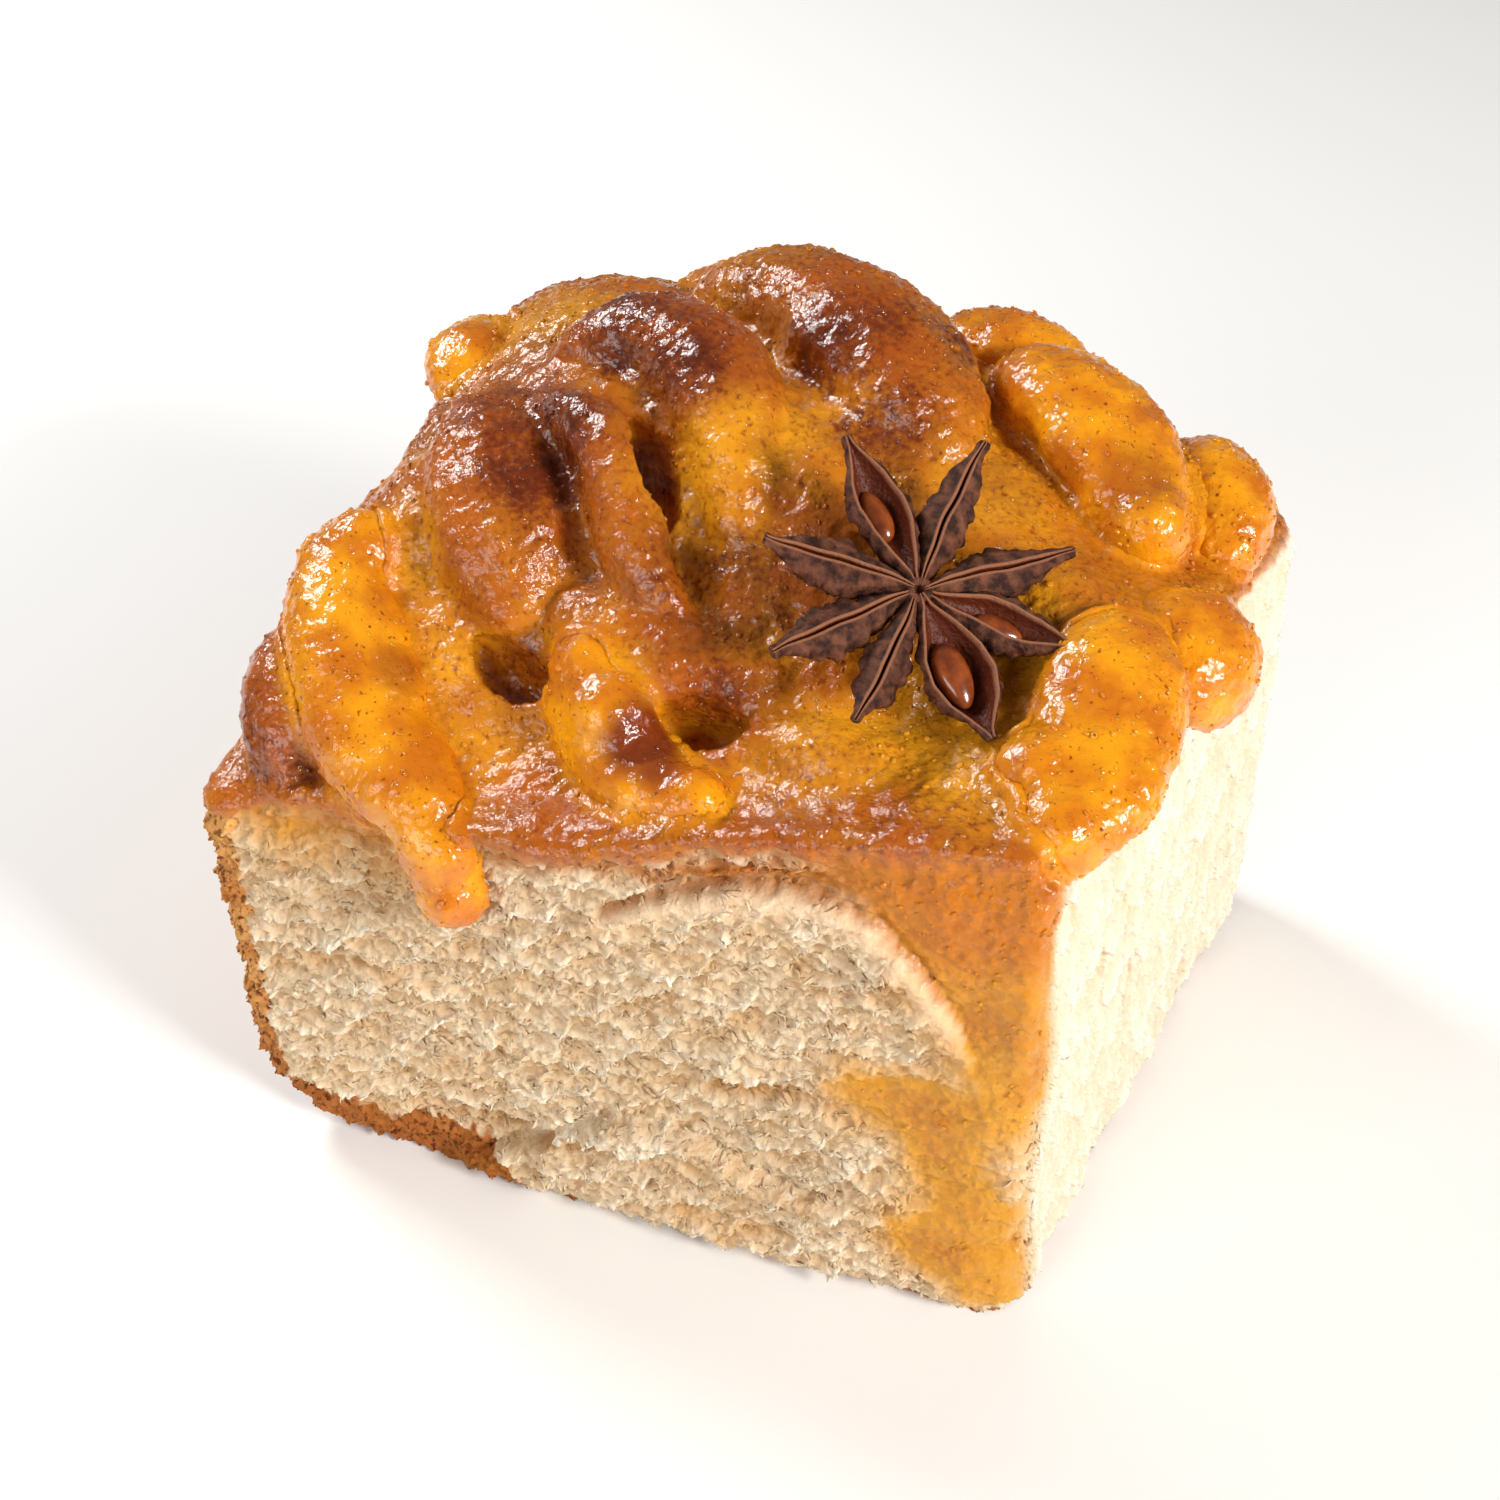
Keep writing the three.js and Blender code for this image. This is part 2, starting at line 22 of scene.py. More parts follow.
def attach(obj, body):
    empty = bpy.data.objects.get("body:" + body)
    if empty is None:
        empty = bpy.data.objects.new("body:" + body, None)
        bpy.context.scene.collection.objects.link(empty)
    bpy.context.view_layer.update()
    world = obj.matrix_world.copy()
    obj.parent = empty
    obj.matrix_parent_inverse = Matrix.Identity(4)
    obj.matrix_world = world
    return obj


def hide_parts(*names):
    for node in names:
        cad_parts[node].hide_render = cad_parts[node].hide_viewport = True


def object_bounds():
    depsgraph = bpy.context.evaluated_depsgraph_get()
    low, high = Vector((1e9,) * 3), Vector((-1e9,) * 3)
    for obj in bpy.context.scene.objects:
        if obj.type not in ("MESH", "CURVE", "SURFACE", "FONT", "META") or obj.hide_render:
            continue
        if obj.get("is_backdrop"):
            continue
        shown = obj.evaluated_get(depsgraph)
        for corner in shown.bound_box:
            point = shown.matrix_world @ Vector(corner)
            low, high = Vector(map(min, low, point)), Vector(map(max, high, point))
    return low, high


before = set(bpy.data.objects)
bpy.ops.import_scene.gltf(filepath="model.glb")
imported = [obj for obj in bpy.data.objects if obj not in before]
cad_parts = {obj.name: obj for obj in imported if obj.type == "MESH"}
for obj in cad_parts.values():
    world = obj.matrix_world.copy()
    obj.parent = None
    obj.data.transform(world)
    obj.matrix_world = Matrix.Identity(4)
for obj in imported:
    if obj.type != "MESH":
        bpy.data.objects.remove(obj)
cad_box = [list(corner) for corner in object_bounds()]
MM = 0.001
scene = bpy.context.scene
print("nodes in the frame:", ", ".join(sorted(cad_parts)))

# %% [markdown]
# ## The camera and the light
#
# The camera looks from the front right and from well above, as in the photograph. It is set up first, so
# that every later step can be judged from the same place. The light is a plain studio. A strong lamp from
# the right makes the torn right side almost white, and one on the left draws the broken white
# highlights on the glaze. Both are small, because a glaze shows each lamp as a spark, and a small lamp makes
# a small sharp one. The surround is dim: a bright one would lay a grey veil over the dark caramel.

# %% Camera
ORIGIN_SHIFT = Vector((0.25, 0.8, 0)) * MM  # the solids' own centring
CAMERA_AZIMUTH = math.radians(24)
CAMERA_ELEVATION = math.radians(42)
CAMERA_DISTANCE = 230.05 * MM
CAMERA_TARGET = Vector((-4.5, 1.0, 34.24)) * MM + ORIGIN_SHIFT

camera_data = bpy.data.cameras.new("camera")
camera_data.lens = 52.8
camera_data.sensor_width = 36
camera_data.clip_start = 1 * MM
camera = bpy.data.objects.new("camera", camera_data)
scene.collection.objects.link(camera)
towards_camera = Vector((
    math.sin(CAMERA_AZIMUTH) * math.cos(CAMERA_ELEVATION),
    -math.cos(CAMERA_AZIMUTH) * math.cos(CAMERA_ELEVATION),
    math.sin(CAMERA_ELEVATION),
))
camera.location = CAMERA_TARGET + towards_camera * CAMERA_DISTANCE
camera.rotation_euler = towards_camera.to_track_quat("Z", "Y").to_euler()
scene.camera = camera
scene.view_settings.view_transform = "Standard"
print("camera", round(CAMERA_DISTANCE / MM), "mm from the middle of the cake")


# %% Lamps
def softbox(name, place_mm, size_mm, watts, colour=(1, 1, 1)):
    """One rectangular lamp that faces the middle of the cake."""
    data = bpy.data.lights.new(name, "AREA")
    data.shape = "RECTANGLE"
    data.size, data.size_y = size_mm[0] * MM, size_mm[1] * MM
    data.energy = watts
    data.color = colour
    lamp = bpy.data.objects.new(name, data)
    lamp.location = Vector(place_mm) * MM
    away = lamp.location - CAMERA_TARGET
    lamp.rotation_euler = away.to_track_quat("Z", "Y").to_euler()
    scene.collection.objects.link(lamp)


softbox("key from the right", (520, -160, 330), (170, 170), 4.3, (1.0, 0.98, 0.95))
softbox("softbox on the left", (-440, 130, 400), (200, 150), 2.6)
softbox("fill from the front", (-180, -600, 300), (420, 320), 2.0)

SURROUND = 0.14
world = bpy.data.worlds.new("studio surround")
scene.world = world
world.use_nodes = True
background = world.node_tree.nodes["Background"].inputs
background["Color"].default_value = (1, 1, 1, 1)
background["Strength"].default_value = SURROUND

# %% [markdown]
# ## Small tools
#
# A few helpers serve every later cell. `add_node` adds any node with its settings and links in one call.
# Inputs without a name go by number: in a Map Range node, 0 is the value, 1 and 2 the span that is read and
# 3 and 4 the span that is given. In a Mix node, 0 is the share, and 6 and 7 are the two colours. `linear`
# turns a colour picked on screen into the linear values that Blender computes with. The mesh helpers move
# points and values between Blender and arrays, where a rule can be applied to all at once.


# %% Colour and node helpers
def linear(hex_colour):
    """An sRGB colour such as "#c8812e" as linear red, green, blue and alpha."""
    values = [int(hex_colour[i:i + 2], 16) / 255 for i in (1, 3, 5)]
    return tuple(v / 12.92 if v <= 0.04045 else ((v + 0.055) / 1.055) ** 2.4 for v in values) + (1.0,)


def plug(node, inputs):
    """Sets each input of a node to a value, or links another node's output to it."""
    for key, value in inputs.items():
        if isinstance(value, bpy.types.NodeSocket):
            node.id_data.links.new(value, node.inputs[key])
        else:
            node.inputs[key].default_value = value


def add_node(tree, kind, inputs=None, out=0, **settings):
    """Adds a node with its settings and links, and returns one output, or the node where out is None."""
    node = tree.nodes.new(kind)
    for name, value in settings.items():
        setattr(node, name, value)
    plug(node, inputs or {})
    return node if out is None else node.outputs[out]


def new_material(name):
    """A material's tree, its shader, and the piece's own coordinates in millimetres."""
    material = bpy.data.materials.new(name)
    material.use_nodes = True
    tree = material.node_tree
    own_place = add_node(tree, "ShaderNodeTexCoord", out="Object")
    own_mm = add_node(tree, "ShaderNodeVectorMath", {0: own_place, "Scale": 1 / MM}, operation="SCALE")
    return material, tree, tree.nodes["Principled BSDF"], own_mm


# %% Mesh helpers
def positions(mesh):
    values = np.empty(len(mesh.vertices) * 3, np.float32)
    mesh.vertices.foreach_get("co", values)
    return values.reshape(-1, 3)


def directions(mesh):
    values = np.empty(len(mesh.vertices) * 3, np.float32)
    mesh.vertex_normals.foreach_get("vector", values)
    return values.reshape(-1, 3)


def set_positions(mesh, values):
    mesh.vertices.foreach_set("co", np.ascontiguousarray(values, np.float32).ravel())
    mesh.update()


def set_value(mesh, name, values):
    """Stores one number for each point, for a material or a node tree to read."""
    layer = mesh.attributes.get(name) or mesh.attributes.new(name, "FLOAT", "POINT")
    layer.data.foreach_set("value", np.ascontiguousarray(values, np.float32))


def point_values(mesh, name):
    values = np.empty(len(mesh.vertices), np.float32)
    mesh.attributes[name].data.foreach_get("value", values)
    return values


def place_in_mm(mesh):
    """Each point's place in millimetres, measured from the middle of the foot."""
    return (positions(mesh) - np.array(ORIGIN_SHIFT)) / MM


def smooth(values, low=0.0, high=1.0):
    """Rises softly from 0 at `low` to 1 at `high`."""
    t = np.clip((np.asarray(values, float) - low) / (high - low), 0, 1)
    return t * t * (3 - 2 * t)


def unevenness(points_mm, width_mm, seed):
    """Smooth noise between about -1 and 1 that changes over `width_mm`."""
    scaled = points_mm / width_mm + seed
    return np.array([fractal(point, 1.0, 2.0, 3) for point in scaled.tolist()])


def link(mesh, name):
    obj = bpy.data.objects.new(name, mesh)
    scene.collection.objects.link(obj)
    return obj


# %% Helpers that rebuild a mesh
def apply_modifiers(obj):
    """Turns the evaluated object into a plain mesh and drops its modifiers."""
    graph = bpy.context.evaluated_depsgraph_get()
    mesh = bpy.data.meshes.new_from_object(obj.evaluated_get(graph))
    obj.modifiers.clear()
    obj.data = mesh
    return obj


WELD_MM = 0.002


def finished(work, name):
    """Turns a bmesh into a plain mesh and frees it."""
    mesh = bpy.data.meshes.new(name)
    work.to_mesh(mesh)
    work.free()
    return mesh


def welded_copy(node, swell_mm):
    """A copy of a measured solid, with its loose triangles joined and its skin moved out."""
    work = bmesh.new()
    work.from_mesh(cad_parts[node].data)
    bmesh.ops.remove_doubles(work, verts=work.verts, dist=WELD_MM * MM)
    work.normal_update()
    for vertex in work.verts:
        vertex.co += vertex.normal * swell_mm * MM
    return finished(work, "copy of " + node)


def join_meshes(meshes, name):
    work = bmesh.new()
    for mesh in meshes:
        work.from_mesh(mesh)
    return finished(work, name)


def remesh(obj, voxel_mm, smoothing):
    """Rebuilds a shape from even quads, which closes overlaps, and softens the facets of the solid."""
    cubes = obj.modifiers.new("even quads", "REMESH")
    cubes.mode = "VOXEL"
    cubes.voxel_size = voxel_mm * MM
    soften = obj.modifiers.new("soften", "SMOOTH")
    soften.factor = 0.5
    soften.iterations = smoothing
    return apply_modifiers(obj)


def blurred(mesh, values, reach_mm, step_mm):
    """Each point's values, averaged with its neighbours' over about that reach."""
    ends = np.empty(len(mesh.edges) * 2, np.int32)
    mesh.edges.foreach_get("vertices", ends)
    a, b = ends.reshape(-1, 2).T
    many = len(values)
    neighbours = np.bincount(a, minlength=many) + np.bincount(b, minlength=many)
    values = np.array(values, float)
    for _ in range(int((2 * reach_mm / step_mm) ** 2)):
        for column in values.T:
            total = np.bincount(a, column[b], many) + np.bincount(b, column[a], many)
            column[:] = 0.5 * column + 0.5 * total / neighbours
    return values


# %% Trees of Geometry Nodes with named sizes
def relief_tree(name, sizes):
    """A geometry tree with a mesh in, a mesh out and one named number for each size."""
    tree = bpy.data.node_groups.new(name, "GeometryNodeTree")
    tree.interface.new_socket("Mesh", in_out="INPUT", socket_type="NodeSocketGeometry")
    tree.interface.new_socket("Mesh", in_out="OUTPUT", socket_type="NodeSocketGeometry")
    for label, value in sizes.items():
        socket = tree.interface.new_socket(label, in_out="INPUT", socket_type="NodeSocketFloat")
        socket.default_value = value
    given = add_node(tree, "NodeGroupInput", out=None).outputs
    return tree, given, add_node(tree, "NodeGroupOutput", out=None)


def raise_points(tree, mesh, height_mm, result, droop=0.0):
    """Moves a tree's points out by a height in millimetres, and a little down where it droops."""
    surface = add_node(tree, "GeometryNodeInputNormal")
    way = add_node(tree, "ShaderNodeVectorMath", {0: surface, 1: (0, 0, -droop)}, operation="ADD")
    height_m = add_node(tree, "ShaderNodeMath", {0: height_mm, 1: MM}, operation="MULTIPLY")
    offset = add_node(tree, "ShaderNodeVectorMath", {0: way, "Scale": height_m}, operation="SCALE")
    raised = add_node(tree, "GeometryNodeSetPosition", {"Geometry": mesh, "Offset": offset})
    plug(result, {"Mesh": raised})


def use_tree(obj, tree, sizes):
    """Puts a tree on an object, with its sizes set by the identifiers of its inputs."""
    modifier = obj.modifiers.new(tree.name, "NODES")
    modifier.node_group = tree
    for item in tree.interface.items_tree:
        if item.in_out == "INPUT" and item.name in sizes:
            modifier[item.identifier] = sizes[item.name]
    return obj


# %% [markdown]
# ## The dough
#
# The measured roll is a faceted solid with a thin slot for its layer of jam. In a baker's dough there are no
# facets, and the jam closes the slot. So a copy of the roll and a slightly swollen copy of the jam layer are
# melted together by a voxel remesh, which gives one closed skin of even quads, fine enough for flakes under
# a millimetre.

# %% Melt the roll and its layer of jam into one fine mesh
FINE_VOXEL_MM = 0.42
SLOT_FILL_MM = 0.45

dough = link(join_meshes([welded_copy("roll", 0), welded_copy("filling", SLOT_FILL_MM)], "dough"), "dough")
remesh(dough, FINE_VOXEL_MM, 4)
place = place_in_mm(dough.data)
facing_out = directions(dough.data)
print("dough:", len(place), "points")

# %% [markdown]
# Which part of the surface is what? Every later step needs to know where the dough was torn, where it is
# crust and where it is glazed. These are smooth masks between 0 and 1, worked out from each point's place.
# The four sides of the block are planes: the direction a side faces and its distance from the axis. Noise
# moves each border a little, because no border on bread is straight.

# %% Masks for the torn sides, the crust and the top
SIDE_FACING = {"front": -85.2, "right": -5.2, "back": 90.0, "left": 177.7}
SIDE_OUT_MM = {"front": 34.9, "right": 40.3, "back": 38.0, "left": 42.2}
# Height of the rim at each corner and in the middle of each side, from the front left anticlockwise.
RIM_CORNERS_MM = [(-42, -38), (-2, -34), (38, -29), (41, 4), (42, 37), (0, 37), (-40, 37), (-43, 0)]
RIM_HEIGHT_MM = [47, 52.5, 62, 66, 58.5, 70, 68.5, 62.5]
TEAR_SPAN_MM = (-4.5, -1.8)  # how far inside a side's plane a tear begins and is full


def side_depth(points_mm, side):
    """How deep inside the plane of a side each point lies."""
    facing = math.radians(SIDE_FACING[side])
    return SIDE_OUT_MM[side] - points_mm[:, 0] * math.cos(facing) - points_mm[:, 1] * math.sin(facing)


def rim_height(points_mm):
    """Height of the rim in the direction of each point, seen from the axis."""
    turn = np.arctan2(points_mm[:, 1], points_mm[:, 0])
    corners = np.array([math.atan2(y, x) for x, y in RIM_CORNERS_MM])
    return np.interp(turn, corners, RIM_HEIGHT_MM, period=2 * math.pi)


above_rim = place[:, 2] - rim_height(place)
depth = {side: side_depth(place, side) for side in SIDE_FACING}
wander = unevenness(place, 5.0, 11)
nibble = unevenness(place, 1.6, 23)
flat_on_top = smooth(facing_out[:, 2], 0.35, 0.7) * smooth(above_rim, -6, -2)
top = np.maximum(smooth(above_rim + 1.1 * wander + 0.5 * nibble, -1.8, 0.4), flat_on_top)
left_band = depth["left"] + 1.0 * wander + 0.8 * nibble
back_band = depth["back"] + 1.2 * wander + 1.0 * nibble
left_band_mm = np.interp(place[:, 2], [0, 8, 25, 50], [5.0, 3.6, 2.4, 1.8])
on_front_side = smooth(-depth["front"], *TEAR_SPAN_MM)
torn_front = on_front_side * smooth(left_band - left_band_mm, 0, 1.2)
torn_right = smooth(-depth["right"], *TEAR_SPAN_MM) * smooth(back_band, 1.2, 2.6)
foot_mm = np.interp(place[:, 0], [-42, -35, -18, -11], [7.5, 6.5, 6.0, 0.9]) + 1.3 * nibble + 0.8 * wander
torn = np.maximum(torn_front, torn_right) * (1 - top) * smooth(place[:, 2] - foot_mm, -0.4, 0.8)
set_value(dough.data, "glazed", top)
set_value(dough.data, "torn", torn)
rough = np.maximum(torn, np.maximum(on_front_side, torn_right) * (1 - top))
set_value(dough.data, "rough", rough)
set_value(dough.data, "torn_right", torn_right * (1 - torn_front))
print("share torn", round(float(torn.mean()), 2), "share glazed", round(float(top.mean()), 2))

# %% [markdown]
# Baked dough isn't even in colour. Lumps that stood closest to the oven's heat are caramelised, hollows
# are filled with yellow jam, and jam has soaked into the crumb along the front right edge. The deep pockets
# get the caramel's dark brown as painted shade. Each such place is a soft spot: its middle, its radius and
# how strong it is. At any point the strongest spot counts.


# %% Where the dough is browned or soaked with jam
def spots(points_mm, table):
    """The strongest of several soft spots (x, y, z, radius, strength) at each point."""
    strongest = np.zeros(len(points_mm))
    for x, y, z, radius, strength in table:
        reach = np.linalg.norm(points_mm - (x, y, z), axis=1) / radius
        strongest = np.maximum(strongest, strength * smooth(1.6 - reach, 0, 1.1))
    return strongest


CARAMEL_SPOTS = [
    (-23, -5, 70, 7.5, 0.9), (-28, -1, 71, 6.5, 0.75), (-19, -9, 66, 6.0, 0.6), (-13, 6, 77, 6.5, 0.85),
    (-21, 9, 76.5, 6.5, 0.8), (-31, 6, 71, 6.0, 0.55), (0, 15, 77, 7.0, 0.8), (6, 9, 73, 5.5, 0.7),
    (8, 19, 75, 6.0, 0.6), (-9, 22, 79, 7.0, 0.5), (-37, -31, 51, 7.0, 0.7), (-41, -25, 50, 6.5, 0.8),
    (-4, -12, 64.5, 8.0, 0.55), (6, -8, 66, 6.0, 0.6), (12, -1, 67, 5.0, 0.45), (18, 11, 70, 6.0, 0.45),
    (28, -28, 59, 5.0, 0.35), (-38, 2, 66, 6.0, 0.5), (22, 26, 72, 6.0, 0.35), (-13, -13, 62, 5.0, 0.5),
    (30, 4, 66, 5.0, 0.35), (-26, -16, 62, 5.0, 0.4), (14, -26, 58, 5.0, 0.3), (-9, -34, 52.5, 6.0, 0.4),
    (2, -33, 54, 6.0, 0.4), (13, -31, 56.5, 6.0, 0.4), (24, -30, 58.5, 5.0, 0.4),
]
# Deep pockets in the glazed top, painted dark brown as shade through the caramel mask.
POCKET_SPOTS = [(-14.5, 1.5, 66, 4.6, 0.8), (-18.5, -19, 55, 3.8, 0.75), (1.5, -19.5, 59.5, 3.8, 0.75),
                (-8, -19, 58, 3.0, 0.5)]
PUDDLE_SPOTS = [
    (28, -21, 62, 6.0, 1.0), (22, -16, 61.5, 5.0, 0.8), (14, -21, 60.5, 5.0, 0.7), (-7.5, -4, 68.5, 5.0, 1.0),
    (-6, 0, 73, 4.5, 0.9), (17, 9, 69.5, 6.0, 0.8), (-31, -17, 60, 4.5, 0.7), (-24, -24, 55, 5.0, 0.7),
    (2, 9.5, 74, 3.5, 0.7), (-10, -20.5, 61, 4.0, 0.7), (10, 22, 73, 6.0, 0.8), (-12, 28, 76, 6.0, 0.6),
    (24, -4, 65, 6.0, 0.6), (-33, 14, 70, 6.0, 0.7), (-3, 3, 71, 4.0, 0.6), (30, 20, 67, 6.0, 0.7),
]
SOAKED_SPOTS = [
    (27, -32, 56, 6.0, 1.0), (33, -29, 55, 7.0, 1.0), (30, -31, 50, 5.0, 1.0), (33, -30, 43, 5.0, 1.0),
    (35, -30, 37, 4.5, 0.95), (33, -31, 31, 4.0, 0.8), (27, -31.5, 29, 4.0, 1.0), (22, -31.8, 29, 3.5, 0.9),
    (31, -31, 23, 4.5, 0.9), (33, -31, 16, 4.5, 0.85), (30, -32.5, 11, 4.5, 0.95), (35, -31, 7, 4.5, 0.8),
    (20, -31, 57, 4.5, 0.7), (-31, -36, 46, 5.5, 0.42), (-22, -36, 48.5, 5.0, 0.5), (-38, -36, 44, 4.0, 0.45),
]

SOAK_SPREAD_MM = 2.2
RIGHT_DRYNESS = 0.85
pocket = spots(place, POCKET_SPOTS) * top
# Real caramel browning on the lobes, together with painted shade in the deep pockets.
caramel_and_pocket_shade = np.maximum(spots(place, CARAMEL_SPOTS) * top, pocket)
soaked = blurred(dough.data, spots(place, SOAKED_SPOTS)[:, None], SOAK_SPREAD_MM, FINE_VOXEL_MM)[:, 0]
soaked = soaked * smooth(place[:, 2], 0.5, 2.5) + 0.08 * nibble * smooth(soaked, 0.1, 0.4)
soaked = soaked * (1 - RIGHT_DRYNESS * torn_right * (1 - torn_front))
set_value(dough.data, "caramel_and_pocket_shade", caramel_and_pocket_shade)
set_value(dough.data, "soaked", soaked)
set_value(dough.data, "syrupy", np.maximum(top, 0.8 * smooth(soaked, 0.5, 0.9)))
set_value(dough.data, "puddle", spots(place, PUDDLE_SPOTS) * top)
print("share caramelised", round(float((caramel_and_pocket_shade > 0.3).mean()), 3))

# %% [markdown]
# ## Soft lobes
#
# The top has to lose its facets but keep its lobes. Averaging each point with its neighbours again and again
# is a blur: a short one removes facets, a long one removes the lobes as well. The difference between the two
# is the height of the lobes alone, so adding a share of it back makes up for what the blur took. The same
# difference tells hollows, where jam gathers, from backs, where the dough browns. Round the deep pockets
# the long blur counts more, because dough closes round a pocket with a soft rim.

# %% Blur the glazed top and keep its lobes
FACET_REACH_MM = 1.1
LOBE_REACH_MM = 3.2
LOBE_SHARE = 0.9
POCKET_SOFTNESS = 0.55

unfaceted = blurred(dough.data, place, FACET_REACH_MM, FINE_VOXEL_MM)
flattened = blurred(dough.data, unfaceted, LOBE_REACH_MM, FINE_VOXEL_MM)
lobes = unfaceted - flattened
keep_lobes = (LOBE_SHARE * (1 - pocket) - POCKET_SOFTNESS * pocket) * top
share_soft = np.maximum(top, 0.5 * (1 - torn))[:, None] * smooth(place[:, 2], 1, 5)[:, None]
place = place + share_soft * (unfaceted + lobes * keep_lobes[:, None] - place)
set_positions(dough.data, place * MM + np.array(ORIGIN_SHIFT))
hollow = -(lobes * facing_out).sum(axis=1)
set_value(dough.data, "hollow", hollow)
facing_out = directions(dough.data)
print("hollows to", round(float(hollow.max()), 1), "mm, backs to", round(float(-hollow.min()), 1), "mm")

# %% [markdown]
# ## The roll's spiral line and the lip of the glaze
#
# Seen from the torn front, the dough turns round a thin layer of jam. Where the line shows, the inner turn
# stands proud of the outer one like a step, with a crack between them. The path is given as points across
# the front, and each surface point asks how far it is from that path, on which side, and at which share of
# its length. The glazed top ends in a soft lip that hangs over the torn front, with the crumb set back
# under it.

# %% Crack and step along the layer of jam
SPIRAL_PATH_MM = [(-18, 4.5), (-11, 9.5), (-3, 15.5), (5, 16), (14, 13.5), (27, 14), (34, 20), (34.5, 31),
                  (30.5, 40.5), (27, 47.5), (22.5, 51.8), (16, 53.4), (8.5, 52), (2, 48.8), (-3, 45)]
CRACK_WIDTH_MM = 0.6
CRACK_DEPTH_MM = 1.3
INNER_PROUD_MM = 1.1
OUTER_SUNK_MM = 0.8
HIDDEN_OPENNESS = 0.12


def nearest_on_path(flat_mm, path):
    """Distance to a path across the front, the side (1 is inside the turn) and the share along it."""
    path = np.array(path, float)
    steps = np.diff(path, axis=0)
    lengths = np.hypot(*steps.T)
    reached = np.concatenate([[0], np.cumsum(lengths)])
    nearest = np.full(len(flat_mm), 1e9)
    side = np.zeros(len(flat_mm))
    share = np.zeros(len(flat_mm))
    for start, step, length, before in zip(path[:-1], steps, lengths, reached):
        offset = flat_mm - start
        along = np.clip((offset @ step) / length ** 2, 0, 1)
        gap = offset - along[:, None] * step
        distance = np.hypot(*gap.T)
        closer = distance < nearest
        nearest[closer] = distance[closer]
        side[closer] = np.sign(step[0] * offset[:, 1] - step[1] * offset[:, 0])[closer]
        share[closer] = ((before + along * length) / reached[-1])[closer]
    return nearest, side, share


gap_mm, inside, share = nearest_on_path(place[:, [0, 2]] + 0.5 * nibble[:, None], SPIRAL_PATH_MM)
on_front = torn_front * (1 - 0.7 * top)
upper_turn = smooth(share, 0.60, 0.68)
lower_end = smooth(0.42 - share, 0, 0.1)
openness = HIDDEN_OPENNESS + (1 - HIDDEN_OPENNESS) * np.maximum(upper_turn, lower_end)
crack = np.exp(-(gap_mm / CRACK_WIDTH_MM) ** 2) * openness * on_front
step_up = np.where(inside > 0, INNER_PROUD_MM * np.exp(-gap_mm / 5), -OUTER_SUNK_MM * np.exp(-gap_mm / 3))
step_up *= openness * on_front * (1 - 2.4 * lower_end)
lip = np.where(inside > 0, smooth(3.4 - gap_mm, 0, 2.2), 0) * upper_turn * on_front
set_value(dough.data, "crack", crack * upper_turn)
set_value(dough.data, "lip", lip)
set_value(dough.data, "calm", np.maximum(lip, np.minimum(2.5 * crack, 1)))
print("points in the crack:", int((crack > 0.4).sum()))

# %% The lip of the glaze
LIP_PROUD_MM = 0.9
LIP_UNDERCUT_MM = 0.9
LIP_BAND_MM = 1.1
STEP_SOFTNESS_MM = 0.5

ragged_rim = above_rim + 1.3 * wander + 0.7 * nibble
rim_band = np.exp(-((ragged_rim - 0.2) / LIP_BAND_MM) ** 2)
below_band = np.exp(-((ragged_rim + 2.4) / LIP_BAND_MM) ** 2)
lip_side = smooth(-depth["front"], -5, -2.5) * smooth(depth["left"], 2, 8)
lip_side = lip_side * (1 - 0.8 * smooth(soaked, 0.3, 0.8))
outwards_mm = lip_side * (LIP_PROUD_MM * rim_band - LIP_UNDERCUT_MM * below_band)
outwards_mm = outwards_mm + step_up - CRACK_DEPTH_MM * crack
outwards_mm = blurred(dough.data, outwards_mm[:, None], STEP_SOFTNESS_MM, FINE_VOXEL_MM)[:, 0]
set_value(dough.data, "undercut", below_band * lip_side)
set_positions(dough.data, positions(dough.data) + facing_out * outwards_mm[:, None] * MM)
print("lip stands out by up to", round(float(outwards_mm.max()), 1), "mm")

# %% [markdown]
# ## Room for fine crumb
#
# Torn crumb has walls a few tenths of a millimetre thick, finer than the mesh. Making the whole mesh finer
# would waste faces on the crust, so only the faces that were torn are cut in four.


# %% Cut the torn faces in four
def refine(mesh, name, threshold):
    """Cuts each face in four where the value of that name is above the threshold at all its corners."""
    work = bmesh.new()
    work.from_mesh(mesh)
    layer = work.verts.layers.float[name]
    chosen = [edge for edge in work.edges if min(v[layer] for v in edge.verts) > threshold]
    bmesh.ops.subdivide_edges(work, edges=chosen, cuts=1, use_grid_fill=True)
    work.to_mesh(mesh)
    work.free()


refine(dough.data, "rough", 0.05)
print("dough:", len(dough.data.vertices), "points after cutting")

# %% [markdown]
# ## Relief of the torn crumb
#
# Torn bread shows the walls of thousands of bubbles: shallow cells, each ringed by a thin ragged ridge, and
# flakes that were pulled up and hang over the next one. That is the picture of a Voronoi pattern, which
# divides space into cells round scattered points. The distance to the nearest edge between two cells gives
# the walls: it is small only in a thin line, and that line is raised. The height of a point above the cell's
# middle makes each cell lean out at its foot, as a flake does. Noise added to the coordinates first makes
# the walls ragged. On the front the cells lie flat and wide, because the dough was rolled up. On the right
# side they are pulled tall, because there the roll was torn from its neighbour upwards.

# %% The crumb tree: coordinates
CRUMB_SIZES = {"Flake mm": 3.4, "Bubble mm": 1.7, "Pore mm": 0.95, "Ragged mm": 2.4, "Depth mm": 0.75,
               "Layer mm": 2.6, "Slit depth mm": 1.0, "Web mm": 2.2, "Web height mm": 0.32}
crumb, size, crumb_out = relief_tree("torn crumb", CRUMB_SIZES)

